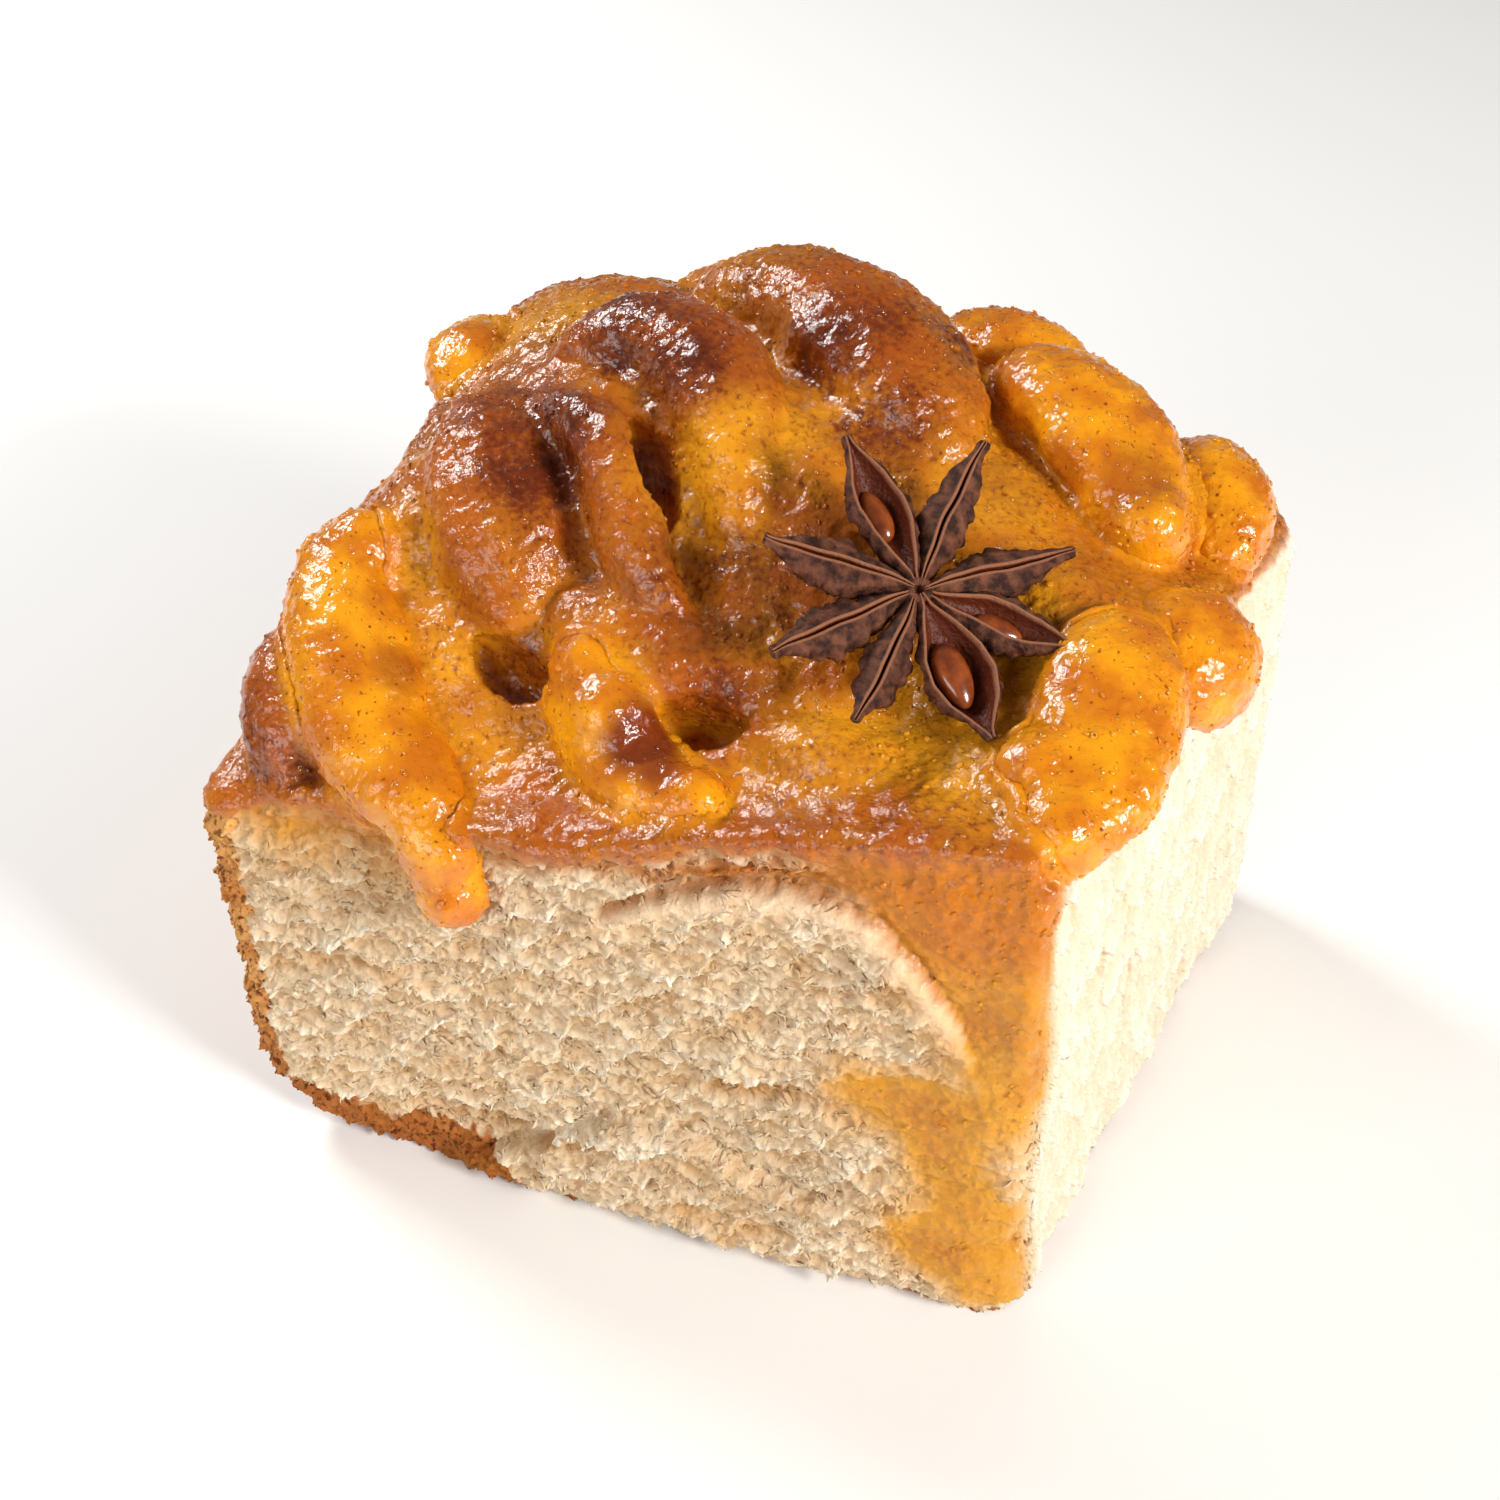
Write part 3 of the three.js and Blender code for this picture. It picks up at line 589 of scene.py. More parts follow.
here = add_node(crumb, "GeometryNodeInputPosition")
here_mm = add_node(crumb, "ShaderNodeVectorMath", {0: here, "Scale": 1 / MM}, operation="SCALE")
swirl = add_node(crumb, "ShaderNodeTexNoise", {"Vector": here_mm, "Scale": 0.5, "Detail": 4.0}, out="Color")
centred = add_node(crumb, "ShaderNodeVectorMath", {0: swirl, 1: (0.5, 0.5, 0.5)}, operation="SUBTRACT")
stir = add_node(crumb, "ShaderNodeVectorMath", {0: centred, "Scale": size["Ragged mm"]}, operation="SCALE")
stirred = add_node(crumb, "ShaderNodeVectorMath", {0: here_mm, 1: stir}, operation="ADD")
tilted = add_node(crumb, "ShaderNodeVectorRotate", {"Vector": stirred, "Angle": math.radians(14)},
                  rotation_type="Y_AXIS")
lying = add_node(crumb, "ShaderNodeVectorMath", {0: tilted, 1: (0.62, 0.62, 1.1)}, operation="MULTIPLY")
tall = add_node(crumb, "ShaderNodeVectorMath", {0: stirred, 1: (1.5, 1.5, 0.45)}, operation="MULTIPLY")
right_side = add_node(crumb, "GeometryNodeInputNamedAttribute", {"Name": "torn_right"}, data_type="FLOAT")
cells = add_node(crumb, "ShaderNodeMix", {0: right_side, 4: lying, 5: tall}, out=1, data_type="VECTOR")

# %% The crumb tree: flakes, bubbles and pores
# How far cells of each size lean out at the foot, how high their walls are, and how much they count.
CELL_SHAPES = {"Flake mm": (0.75, 0.35, 1.0), "Bubble mm": (0.5, 0.6, 0.6), "Pore mm": (0.2, 0.5, 0.22)}
WALL_SHARE = 0.2
layers_of_cells = []
for label, (lean, wall, weight) in CELL_SHAPES.items():
    per_mm = add_node(crumb, "ShaderNodeMath", {0: 1.0, 1: size[label]}, operation="DIVIDE")
    cell = add_node(crumb, "ShaderNodeTexVoronoi", {"Vector": cells, "Scale": per_mm}, out="Position")
    edge = add_node(crumb, "ShaderNodeTexVoronoi", {"Vector": cells, "Scale": per_mm}, out="Distance",
                    feature="DISTANCE_TO_EDGE")
    from_middle = add_node(crumb, "ShaderNodeVectorMath", {0: cells, 1: cell}, operation="SUBTRACT")
    slope = add_node(crumb, "ShaderNodeVectorMath", {0: from_middle, 1: (0.15, 0.2, -1.0)}, out="Value",
                     operation="DOT_PRODUCT")
    leaning = add_node(crumb, "ShaderNodeMath", {0: slope, 1: per_mm}, operation="MULTIPLY")
    thin = add_node(crumb, "ShaderNodeMapRange", {0: edge, 1: 0.0, 2: WALL_SHARE, 3: 1.0, 4: 0.0},
                    interpolation_type="SMOOTHSTEP")
    leaning = add_node(crumb, "ShaderNodeMath", {0: leaning, 1: lean * weight}, operation="MULTIPLY")
    layers_of_cells.append(add_node(crumb, "ShaderNodeMath", {0: thin, 1: wall * weight, 2: leaning},
                                    operation="MULTIPLY_ADD"))
print("sizes of cell:", len(layers_of_cells))

# %% The crumb tree: slits between layers, and webs
flat_layers = add_node(crumb, "ShaderNodeVectorMath", {0: tilted, 1: (0.2, 0.2, 1.0)}, operation="MULTIPLY")
tall_layers = add_node(crumb, "ShaderNodeVectorMath", {0: stirred, 1: (1.1, 1.1, 0.12)},
                       operation="MULTIPLY")
layer_place = add_node(crumb, "ShaderNodeMix", {0: right_side, 4: flat_layers, 5: tall_layers}, out=1,
                       data_type="VECTOR")
per_layer = add_node(crumb, "ShaderNodeMath", {0: 0.4, 1: size["Layer mm"]}, operation="DIVIDE")
layers = add_node(crumb, "ShaderNodeTexNoise", {"Vector": layer_place, "Scale": per_layer, "Detail": 1.0})
split = add_node(crumb, "ShaderNodeMapRange", {0: layers, 1: 0.61, 2: 0.71, 3: 0.0, 4: -1.0})
split_deep = add_node(crumb, "ShaderNodeMath", {0: split, 1: size["Slit depth mm"]}, operation="MULTIPLY")
per_web = add_node(crumb, "ShaderNodeMath", {0: 1.0, 1: size["Web mm"]}, operation="DIVIDE")
swirls = add_node(crumb, "ShaderNodeTexNoise",
                  {"Vector": cells, "Scale": per_web, "Detail": 1.5, "Distortion": 1.2})
off_line = add_node(crumb, "ShaderNodeMath", {0: swirls, 1: 0.5}, operation="SUBTRACT")
beside_line = add_node(crumb, "ShaderNodeMath", {0: off_line}, operation="ABSOLUTE")
web_line = add_node(crumb, "ShaderNodeMapRange", {0: beside_line, 1: 0.0, 2: 0.07, 3: 1.0, 4: 0.0},
                    interpolation_type="SMOOTHSTEP")
web = add_node(crumb, "ShaderNodeMath", {0: web_line, 1: size["Web height mm"]}, operation="MULTIPLY")
height = add_node(crumb, "ShaderNodeMath", {0: split_deep, 1: web}, operation="ADD")
for layer in layers_of_cells:
    height = add_node(crumb, "ShaderNodeMath", {0: height, 1: layer}, operation="ADD")

# %% [markdown]
# Webs are the thin curved strands of torn cell walls. They follow the line where a smooth noise crosses its
# middle value, which winds over the surface without ever ending in a point.
#
# The sum is the height of the crumb, from about -1 in a slit to 2 on a wall. Points are pushed out along the
# surface and also a little down, so flakes overhang as torn ones do and throw small shadows. Where jam has
# soaked in, the crumb has collapsed and is smoother. The height is kept on the points, because the material
# uses it to paint shade into the pits as tan and light onto the walls as cream.

# %% The crumb tree: moving the points
FLAKE_DROOP = 0.3
CRUMB_MIDDLE = 0.35
rough_here, soaked_here, calm_here = (
    add_node(crumb, "GeometryNodeInputNamedAttribute", {"Name": name}, data_type="FLOAT")
    for name in ("rough", "soaked", "calm"))
dry = add_node(crumb, "ShaderNodeMapRange", {0: soaked_here, 1: 0.3, 2: 0.8, 3: 1.0, 4: 0.15})
off_lip = add_node(crumb, "ShaderNodeMath", {0: calm_here, 1: -0.7, 2: 1.0}, operation="MULTIPLY_ADD")
softer_right = add_node(crumb, "ShaderNodeMapRange", {0: right_side, 3: 1.0, 4: 0.85})
middle = add_node(crumb, "ShaderNodeMath", {0: height, 1: CRUMB_MIDDLE}, operation="SUBTRACT")
moved = rough_here
for factor in (off_lip, dry, softer_right, size["Depth mm"], middle):
    moved = add_node(crumb, "ShaderNodeMath", {0: moved, 1: factor}, operation="MULTIPLY")
kept = add_node(crumb, "GeometryNodeStoreNamedAttribute",
                {"Geometry": size["Mesh"], "Name": "wall", "Value": height}, data_type="FLOAT",
                domain="POINT")
raise_points(crumb, kept, moved, crumb_out, droop=FLAKE_DROOP)
apply_modifiers(use_tree(dough, crumb, CRUMB_SIZES))
print("crumb tree:", len(crumb.nodes), "nodes")

# %% [markdown]
# ## Jam shapes
#
# Strips and lumps of jam lie on the dough, and two of them run over its edges in thick drips. Each measured
# solid is a faceted bar, so a copy is swollen a little, melted into even quads and blurred until it is as
# round as jam is. A drip ends in a heavy round drop, so a ball is melted into its end.

# %% Shape the jam
JAM_VOXEL_MM = 0.36
JAM_SWELL_MM = 0.75
JAM_BLUR_MM = 1.1
# Drops at the ends of strips: x, y, z and radius in millimetres.
JAM_DROPS = {
    "jam_strip_left": [(-17.1, -37.4, 43.6, 3.5), (-17.9, -36.4, 48, 3.5), (-38, -15, 61, 4.2)],
    "jam_strip_front": [(-11, -20.5, 59.5, 3.8), (-7, -24, 58.2, 4.2), (3.5, -28.6, 55.5, 3.2)],
    "jam_corner": [(35.2, -24.5, 60.5, 4.3), (31.5, -20, 62, 4.0)],
    "jam_strip_right": [(16, 24, 70.5, 4.4), (31.5, 11, 67, 4.2)],
    "jam_lump_right": [(41, -0.5, 60.5, 3.6)],
}


def drop_mesh(x, y, z, radius_mm):
    work = bmesh.new()
    bmesh.ops.create_icosphere(work, subdivisions=3, radius=radius_mm * MM)
    work.transform(Matrix.Translation(Vector((x, y, z)) * MM + ORIGIN_SHIFT))
    return finished(work, "drop")


jam_pieces = {}
for name in sorted(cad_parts):
    if not name.startswith("jam_"):
        continue
    parts = [welded_copy(name, JAM_SWELL_MM)] + [drop_mesh(*drop) for drop in JAM_DROPS.get(name, [])]
    piece = link(join_meshes(parts, name + "_look"), name + "_look")
    remesh(piece, JAM_VOXEL_MM, 3)
    points = positions(piece.data) / MM
    set_positions(piece.data, blurred(piece.data, points, JAM_BLUR_MM, JAM_VOXEL_MM) * MM)
    set_value(piece.data, "syrupy", np.ones(len(points)))
    set_value(piece.data, "crust", np.zeros(len(points)))
    jam_pieces[name] = piece
print("jam:", {name: len(piece.data.vertices) for name, piece in jam_pieces.items()})

# %% [markdown]
# ## Where jam meets dough
#
# Warm jam wets the dough, so it doesn't end in a sharp line. The dough's glaze climbs a little up its side,
# as water climbs a glass, and takes its colour. A tree measures each point's distance to the nearest jam
# and raises the dough there. The nearness stays on the points for the material.

# %% The meniscus tree
MENISCUS_SIZES = {"Height mm": 0.9, "Reach mm": 0.9, "Tint reach mm": 1.8}
all_jam = link(join_meshes([piece.data for piece in jam_pieces.values()], "all jam"), "all jam")
meniscus, size, meniscus_out = relief_tree("meniscus round the jam", MENISCUS_SIZES)

jam_shape = add_node(meniscus, "GeometryNodeObjectInfo", {"Object": all_jam}, out="Geometry")
gap = add_node(meniscus, "GeometryNodeProximity", {"Geometry": jam_shape}, out="Distance",
               target_element="FACES")
gap_mm_here = add_node(meniscus, "ShaderNodeMath", {0: gap, 1: 1 / MM}, operation="MULTIPLY")
nearness = []
for label in ("Reach mm", "Tint reach mm"):
    share_of_reach = add_node(meniscus, "ShaderNodeMath", {0: gap_mm_here, 1: size[label]},
                              operation="DIVIDE")
    nearness.append(add_node(meniscus, "ShaderNodeMapRange", {0: share_of_reach, 3: 1.0, 4: 0.0},
                             interpolation_type="SMOOTHSTEP"))
glazed_here = add_node(meniscus, "GeometryNodeInputNamedAttribute", {"Name": "glazed"}, data_type="FLOAT")
climb = add_node(meniscus, "ShaderNodeMath", {0: nearness[0], 1: size["Height mm"]}, operation="MULTIPLY")
climb_glazed = add_node(meniscus, "ShaderNodeMath", {0: climb, 1: glazed_here}, operation="MULTIPLY")
kept = add_node(meniscus, "GeometryNodeStoreNamedAttribute",
                {"Geometry": size["Mesh"], "Name": "by_jam", "Value": nearness[1]}, data_type="FLOAT",
                domain="POINT")
raise_points(meniscus, kept, climb_glazed, meniscus_out)
apply_modifiers(use_tree(dough, meniscus, MENISCUS_SIZES))
bpy.data.objects.remove(all_jam)
print("meniscus tree:", len(meniscus.nodes), "nodes")

# %% [markdown]
# ## Relief of the glaze and the crust
#
# The glazed skin of a sweet roll isn't glassy smooth. It blistered in the oven, it wrinkled along the lobes
# while it cooled, and sugar left tiny knobs. The browned outer sides are rough as fine sandpaper, with small
# flakes torn up along the foot. One tree serves dough and jam, with sizes for each and with the masks
# choosing how much of each relief a point gets.

# %% The skin tree: blisters and knobs
SKIN_SIZES = {"Blister mm": 2.4, "Blister height mm": 0.7, "Knob mm": 1.1, "Knob height mm": 0.26,
              "Wrinkle mm": 1.3, "Wrinkle height mm": 0.9, "Crust grain mm": 1.3, "Crust height mm": 1.8}
skin, size, skin_out = relief_tree("glazed skin and crust", SKIN_SIZES)

here = add_node(skin, "GeometryNodeInputPosition")
here_mm = add_node(skin, "ShaderNodeVectorMath", {0: here, "Scale": 1 / MM}, operation="SCALE")
per_blister, per_knob, per_wrinkle, per_grain = (
    add_node(skin, "ShaderNodeMath", {0: share, 1: size[label]}, operation="DIVIDE")
    for label, share in (("Blister mm", 1.0), ("Knob mm", 1.0), ("Wrinkle mm", 0.7),
                         ("Crust grain mm", 1.0)))
blister = add_node(skin, "ShaderNodeTexNoise", {"Vector": here_mm, "Scale": per_blister, "Detail": 1.5})
raised = add_node(skin, "ShaderNodeMath", {0: blister, 1: 0.5}, operation="SUBTRACT")
raised_mm = add_node(skin, "ShaderNodeMath", {0: raised, 1: size["Blister height mm"]},
                     operation="MULTIPLY")
knob = add_node(skin, "ShaderNodeTexVoronoi", {"Vector": here_mm, "Scale": per_knob, "Smoothness": 0.4},
                out="Distance", feature="SMOOTH_F1")
knob_top = add_node(skin, "ShaderNodeMapRange", {0: knob, 1: 0.05, 2: 0.6, 3: 1.0, 4: 0.0},
                    interpolation_type="SMOOTHSTEP")
knob_mm = add_node(skin, "ShaderNodeMath", {0: knob_top, 1: size["Knob height mm"], 2: raised_mm},
                   operation="MULTIPLY_ADD")

# %% The skin tree: wrinkles and crust
along_lobes = add_node(skin, "ShaderNodeVectorRotate", {"Vector": here_mm, "Angle": math.radians(38)},
                       rotation_type="Z_AXIS")
stretched = add_node(skin, "ShaderNodeVectorMath", {0: along_lobes, 1: (1.0, 0.4, 0.8)},
                     operation="MULTIPLY")
wrinkle = add_node(skin, "ShaderNodeTexNoise",
                   {"Vector": stretched, "Scale": per_wrinkle, "Detail": 2.0, "Distortion": 0.5})
folded = add_node(skin, "ShaderNodeMath", {0: wrinkle, 1: 0.5}, operation="SUBTRACT")
crease = add_node(skin, "ShaderNodeMath", {0: folded}, operation="ABSOLUTE")
glaze_sum = add_node(skin, "ShaderNodeMath", {0: crease, 1: size["Wrinkle height mm"], 2: knob_mm},
                     operation="MULTIPLY_ADD")
glazed_here = add_node(skin, "GeometryNodeInputNamedAttribute", {"Name": "syrupy"}, data_type="FLOAT")
glaze_mm = add_node(skin, "ShaderNodeMath", {0: glaze_sum, 1: glazed_here}, operation="MULTIPLY")
grain = add_node(skin, "ShaderNodeTexNoise", {"Vector": here_mm, "Scale": per_grain, "Detail": 3.0})
grain_middle = add_node(skin, "ShaderNodeMath", {0: grain, 1: 0.52}, operation="SUBTRACT")
grain_mm = add_node(skin, "ShaderNodeMath", {0: grain_middle, 1: size["Crust height mm"]},
                    operation="MULTIPLY")
crust_here = add_node(skin, "GeometryNodeInputNamedAttribute", {"Name": "crust"}, data_type="FLOAT")
skin_mm = add_node(skin, "ShaderNodeMath", {0: grain_mm, 1: crust_here, 2: glaze_mm},
                   operation="MULTIPLY_ADD")
raise_points(skin, size["Mesh"], skin_mm, skin_out)

# %% Wrinkle the dough and the jam
JAM_SIZES = {"Blister mm": 3.2, "Blister height mm": 0.6, "Knob mm": 1.0, "Knob height mm": 0.2,
             "Wrinkle mm": 1.2, "Wrinkle height mm": 0.4, "Crust height mm": 0.0}

bare = (1 - point_values(dough.data, "rough")) * (1 - point_values(dough.data, "glazed"))
set_value(dough.data, "crust", bare)
apply_modifiers(use_tree(dough, skin, SKIN_SIZES))
resting = positions(dough.data)
resting[:, 2] = np.maximum(resting[:, 2], 0)
set_positions(dough.data, resting)
for piece in jam_pieces.values():
    apply_modifiers(use_tree(piece, skin, JAM_SIZES))
print("skin tree:", len(skin.nodes), "nodes")

# %% [markdown]
# ## Pumpkin jam
#
# Pumpkin jam is cooked fruit in sugar: clear amber with darker and lighter clouds of pulp, fine brown specks
# of spice, and a wet shine. The same amber is needed where jam wets the dough, so one function draws it for
# both materials. Light enters jam and comes out nearby, more red than yellow, which subsurface scattering
# imitates. Where the oven scorched it, it turns a deep brown.


# %% Pumpkin jam: its amber
def jam_amber(tree, place_mm):
    """The clouded and speckled amber of cooked pumpkin, as a colour output of the tree."""
    cloud = add_node(tree, "ShaderNodeTexNoise", {"Vector": place_mm, "Scale": 0.2, "Detail": 4.0})
    cloud_share = add_node(tree, "ShaderNodeMapRange", {0: cloud, 1: 0.38, 2: 0.64})
    spice = add_node(tree, "ShaderNodeTexNoise", {"Vector": place_mm, "Scale": 1.9, "Detail": 1.0})
    spice_share = add_node(tree, "ShaderNodeMapRange", {0: spice, 1: 0.66, 2: 0.78})
    amber = linear("#c56c0e")
    for share, over in [(cloud_share, "#e8980e"), (spice_share, "#8a420c")]:
        amber = add_node(tree, "ShaderNodeMix", {0: share, 6: amber, 7: linear(over)}, out=2,
                         data_type="RGBA")
    return amber


# %% Pumpkin jam: the material
SCORCHED_SPOTS = [(-3, -26, 58, 3.6, 1.0), (-0.5, -28, 57, 2.4, 0.8), (-27, -26, 59, 3.0, 0.5),
                  (30, 12, 72, 4.0, 0.45)]

jam, tree, shader, place_mm = new_material("cooked pumpkin jam")
scorched_mask = add_node(tree, "ShaderNodeAttribute", out="Fac", attribute_name="scorched")
scorched_share = add_node(tree, "ShaderNodeMapRange", {0: scorched_mask, 1: 0.1, 2: 0.9})
jam_colour = add_node(tree, "ShaderNodeMix",
                      {0: scorched_share, 6: jam_amber(tree, place_mm), 7: linear("#7e3410")}, out=2,
                      data_type="RGBA")
ripple = add_node(tree, "ShaderNodeTexNoise", {"Vector": place_mm, "Scale": 1.5, "Detail": 3.0})
ripple_bump = add_node(tree, "ShaderNodeBump", {"Height": ripple, "Strength": 0.35, "Distance": 0.5 * MM})
plug(shader, {
    "Base Color": jam_colour, "Roughness": 0.26, "Coat Weight": 0.7, "Coat Roughness": 0.04,
    "Specular IOR Level": 0.2, "Subsurface Weight": 0.2, "Subsurface Radius": (1.0, 0.4, 0.08),
    "Subsurface Scale": 1.6 * MM, "Normal": ripple_bump, "Coat Normal": ripple_bump,
})
for piece in jam_pieces.values():
    set_value(piece.data, "scorched", spots(place_in_mm(piece.data), SCORCHED_SPOTS))
print("jam material:", len(tree.nodes), "nodes")

# %% [markdown]
# ## Bread, baked and torn
#
# One material covers all of the dough, because the masks blend from one finish to the next without a seam:
# cream crumb, browned crust, and the syrup glaze on top that runs from gold in the hollows to caramel on
# the lobes. Some light enters the crumb and comes out nearby. Where syrup lies, a clear coat gives the wet
# shine, and crumb has no coat at all.

# %% Bread, baked and torn: the masks
bread, tree, shader, place_mm = new_material("baked enriched bread")
MASKS = ["glazed", "torn", "torn_right", "caramel_and_pocket_shade", "hollow", "puddle", "soaked", "crack", "lip", "undercut",
         "wall", "by_jam", "rough"]
mask = {name: add_node(tree, "ShaderNodeAttribute", out="Fac", attribute_name=name) for name in MASKS}
mottle = add_node(tree, "ShaderNodeTexNoise", {"Vector": place_mm, "Scale": 0.16, "Detail": 4.0})
speck = add_node(tree, "ShaderNodeTexNoise", {"Vector": place_mm, "Scale": 1.5, "Detail": 3.0})
amber = jam_amber(tree, place_mm)
print("masks:", len(mask))

# %% [markdown]
# Crumb has painted shade in its pits, which are tan, and painted light on its walls, which are cream, with a
# painted highlight on the highest walls. On the torn right side, which the strong lamp lights, the crumb is a
# lighter painted copy. The strip of crumb right under the lip of the glaze is painted brown as its shade. The
# outer sides of the roll are smooth golden crust, browner towards the foot, and where that crust was torn at
# the edge of a side it broke into dark flecks.

# %% Bread, baked and torn: crumb and crust
# Painted shade and light on the crumb: pits tan as shade, walls cream as light, highest walls near white as a
# painted highlight.
wall_light_share = add_node(tree, "ShaderNodeMapRange", {0: mask["wall"], 1: -0.5, 2: 1.3})
painted_wall_highlight = add_node(tree, "ShaderNodeMapRange", {0: mask["wall"], 1: 0.9, 2: 2.2})
# Painted shade: the crumb in the undercut right under the lip of the glaze is painted brown.
painted_shade_under_lip = add_node(tree, "ShaderNodeMapRange", {0: mask["undercut"], 1: 0.05, 2: 0.7, 3: 0.0, 4: 0.8})
# A lighter painted copy of the crumb for the torn right side, which the strong lamp from the right lights.
painted_lit_right_crumb = add_node(tree, "ShaderNodeMix", {0: wall_light_share, 6: linear("#d8bb98"), 7: linear("#e9dccb")},
                       out=2, data_type="RGBA")
crumb_colour = linear("#b88c5a")
for share, over in [(wall_light_share, linear("#e4d1b3")), (mask["torn_right"], painted_lit_right_crumb),
                    (painted_wall_highlight, linear("#fdf1e2")), (painted_shade_under_lip, linear("#b06a2a"))]:
    crumb_colour = add_node(tree, "ShaderNodeMix", {0: share, 6: crumb_colour, 7: over}, out=2,
                            data_type="RGBA")

height_mm = add_node(tree, "ShaderNodeSeparateXYZ", {0: place_mm}, out="Z")
browned = add_node(tree, "ShaderNodeMapRange", {0: mottle, 1: 0.38, 2: 0.62})
near_foot = add_node(tree, "ShaderNodeMapRange", {0: height_mm, 1: 4.0, 2: 22.0, 3: 0.85, 4: 0.0})
fleck_strength = add_node(tree, "ShaderNodeMapRange", {0: mask["rough"], 3: 0.25, 4: 0.9})
fleck_share = add_node(tree, "ShaderNodeMapRange", {0: speck, 1: 0.5, 2: 0.62, 4: fleck_strength})
crust_colour = linear("#e0a763")
for share, over in [(browned, "#b06a30"), (near_foot, "#9c5420"), (fleck_share, "#5e260c")]:
    crust_colour = add_node(tree, "ShaderNodeMix", {0: share, 6: crust_colour, 7: linear(over)}, out=2,
                            data_type="RGBA")
print("bread material:", len(tree.nodes), "nodes with crumb and crust")

# %% [markdown]
# On top, gold lies where jam gathered, brown where the dough rose to the heat, and caramel and scorched sugar
# on the highest lobes. The deep pockets get the same dark browns as painted shade. Noise added to each mask
# before it is used makes its edge ragged, as burnt edges are.

# %% Bread, baked and torn: the glazed top
gathered = add_node(tree, "ShaderNodeMapRange", {0: mask["hollow"], 1: -0.6, 2: 1.2, 4: 0.55})
with_puddles = add_node(tree, "ShaderNodeMath", {0: mask["puddle"], 1: 0.75, 2: gathered},
                        operation="MULTIPLY_ADD")
blotched = add_node(tree, "ShaderNodeMath", {0: mottle, 1: 2.2, 2: -1.1}, operation="MULTIPLY_ADD")
gold_sum = add_node(tree, "ShaderNodeMath", {0: with_puddles, 1: blotched}, operation="ADD")
gold_share = add_node(tree, "ShaderNodeMapRange", {0: gold_sum, 1: -0.1, 2: 0.8})
glaze_specks = add_node(tree, "ShaderNodeMapRange", {0: speck, 1: 0.58, 2: 0.72, 4: 0.75})
ragged = add_node(tree, "ShaderNodeMath", {0: speck, 1: 0.9, 2: -0.45}, operation="MULTIPLY_ADD")
blotch_small = add_node(tree, "ShaderNodeMath", {0: blotched, 1: 0.6, 2: ragged}, operation="MULTIPLY_ADD")
# The caramel mask carries real browning and, in the deep pockets, painted shade.
caramel_ragged = add_node(tree, "ShaderNodeMath", {0: mask["caramel_and_pocket_shade"], 1: blotch_small}, operation="ADD")
brown_share = add_node(tree, "ShaderNodeMapRange", {0: caramel_ragged, 1: 0.05, 2: 0.95})
dark_share = add_node(tree, "ShaderNodeMapRange", {0: caramel_ragged, 1: 0.6, 2: 1.3})
jam_tint = add_node(tree, "ShaderNodeMath", {0: mask["by_jam"], 1: 0.85}, operation="MULTIPLY")
glaze_colour = linear("#b05c12")
for share, over in [(gold_share, linear("#e0961a")), (glaze_specks, linear("#84380c")),
                    (brown_share, linear("#85360c")), (dark_share, linear("#451706")), (jam_tint, amber)]:
    glaze_colour = add_node(tree, "ShaderNodeMix", {0: share, 6: glaze_colour, 7: over}, out=2,
                            data_type="RGBA")
print("bread material:", len(tree.nodes), "nodes with the glaze")

# %% [markdown]
# Jam soaked into the crumb along the front right edge and made it a smooth, dark, wet amber. Its walls are
# painted paler as light.
# The crack of the spiral is filled with jam, and the lip beside it is creamy with a rosy bake.

# %% Bread, baked and torn: blending the finishes
soaked_ragged = add_node(tree, "ShaderNodeMath", {0: blotched, 1: 0.35, 2: mask["soaked"]},
                         operation="MULTIPLY_ADD")
soaked_front = add_node(tree, "ShaderNodeMapRange", {0: soaked_ragged, 1: 0.0, 2: 0.6})
soaked_right = add_node(tree, "ShaderNodeMapRange", {0: mask["torn_right"], 3: 1.0, 4: 0.3})
soaked_share = add_node(tree, "ShaderNodeMath", {0: soaked_front, 1: soaked_right}, operation="MULTIPLY")
soaked_depth = add_node(tree, "ShaderNodeMapRange", {0: soaked_ragged, 1: 0.6, 2: 1.15})
# Painted light: the walls of the soaked crumb are painted paler than its pits.
painted_wall_light = add_node(tree, "ShaderNodeMath", {0: wall_light_share, 1: 0.3}, operation="MULTIPLY")
under_corner = add_node(tree, "ShaderNodeMapRange", {0: height_mm, 1: 42.0, 2: 56.0, 3: 0.0, 4: 0.75})
soaked_tone = linear("#c8881a")
for share, over in [(soaked_depth, "#a85606"), (painted_wall_light, "#e0a848"), (under_corner, "#bc680c")]:
    soaked_tone = add_node(tree, "ShaderNodeMix", {0: share, 6: soaked_tone, 7: linear(over)}, out=2,
                           data_type="RGBA")

torn_share = add_node(tree, "ShaderNodeMapRange", {0: mask["torn"], 1: 0.15, 2: 0.6})
lip_share = add_node(tree, "ShaderNodeMapRange", {0: mask["lip"], 1: 0.1, 2: 0.9, 4: 0.6})
crack_share = add_node(tree, "ShaderNodeMapRange", {0: mask["crack"], 1: 0.3, 2: 0.95, 4: 0.65})
bread_colour = crust_colour
for share, over in [(torn_share, crumb_colour), (soaked_share, soaked_tone), (lip_share, linear("#eccdaa")),
                    (crack_share, linear("#a8621a")), (mask["glazed"], glaze_colour)]:
    bread_colour = add_node(tree, "ShaderNodeMix", {0: share, 6: bread_colour, 7: over}, out=2,
                            data_type="RGBA")
print("bread material:", len(tree.nodes), "nodes with all the colours")

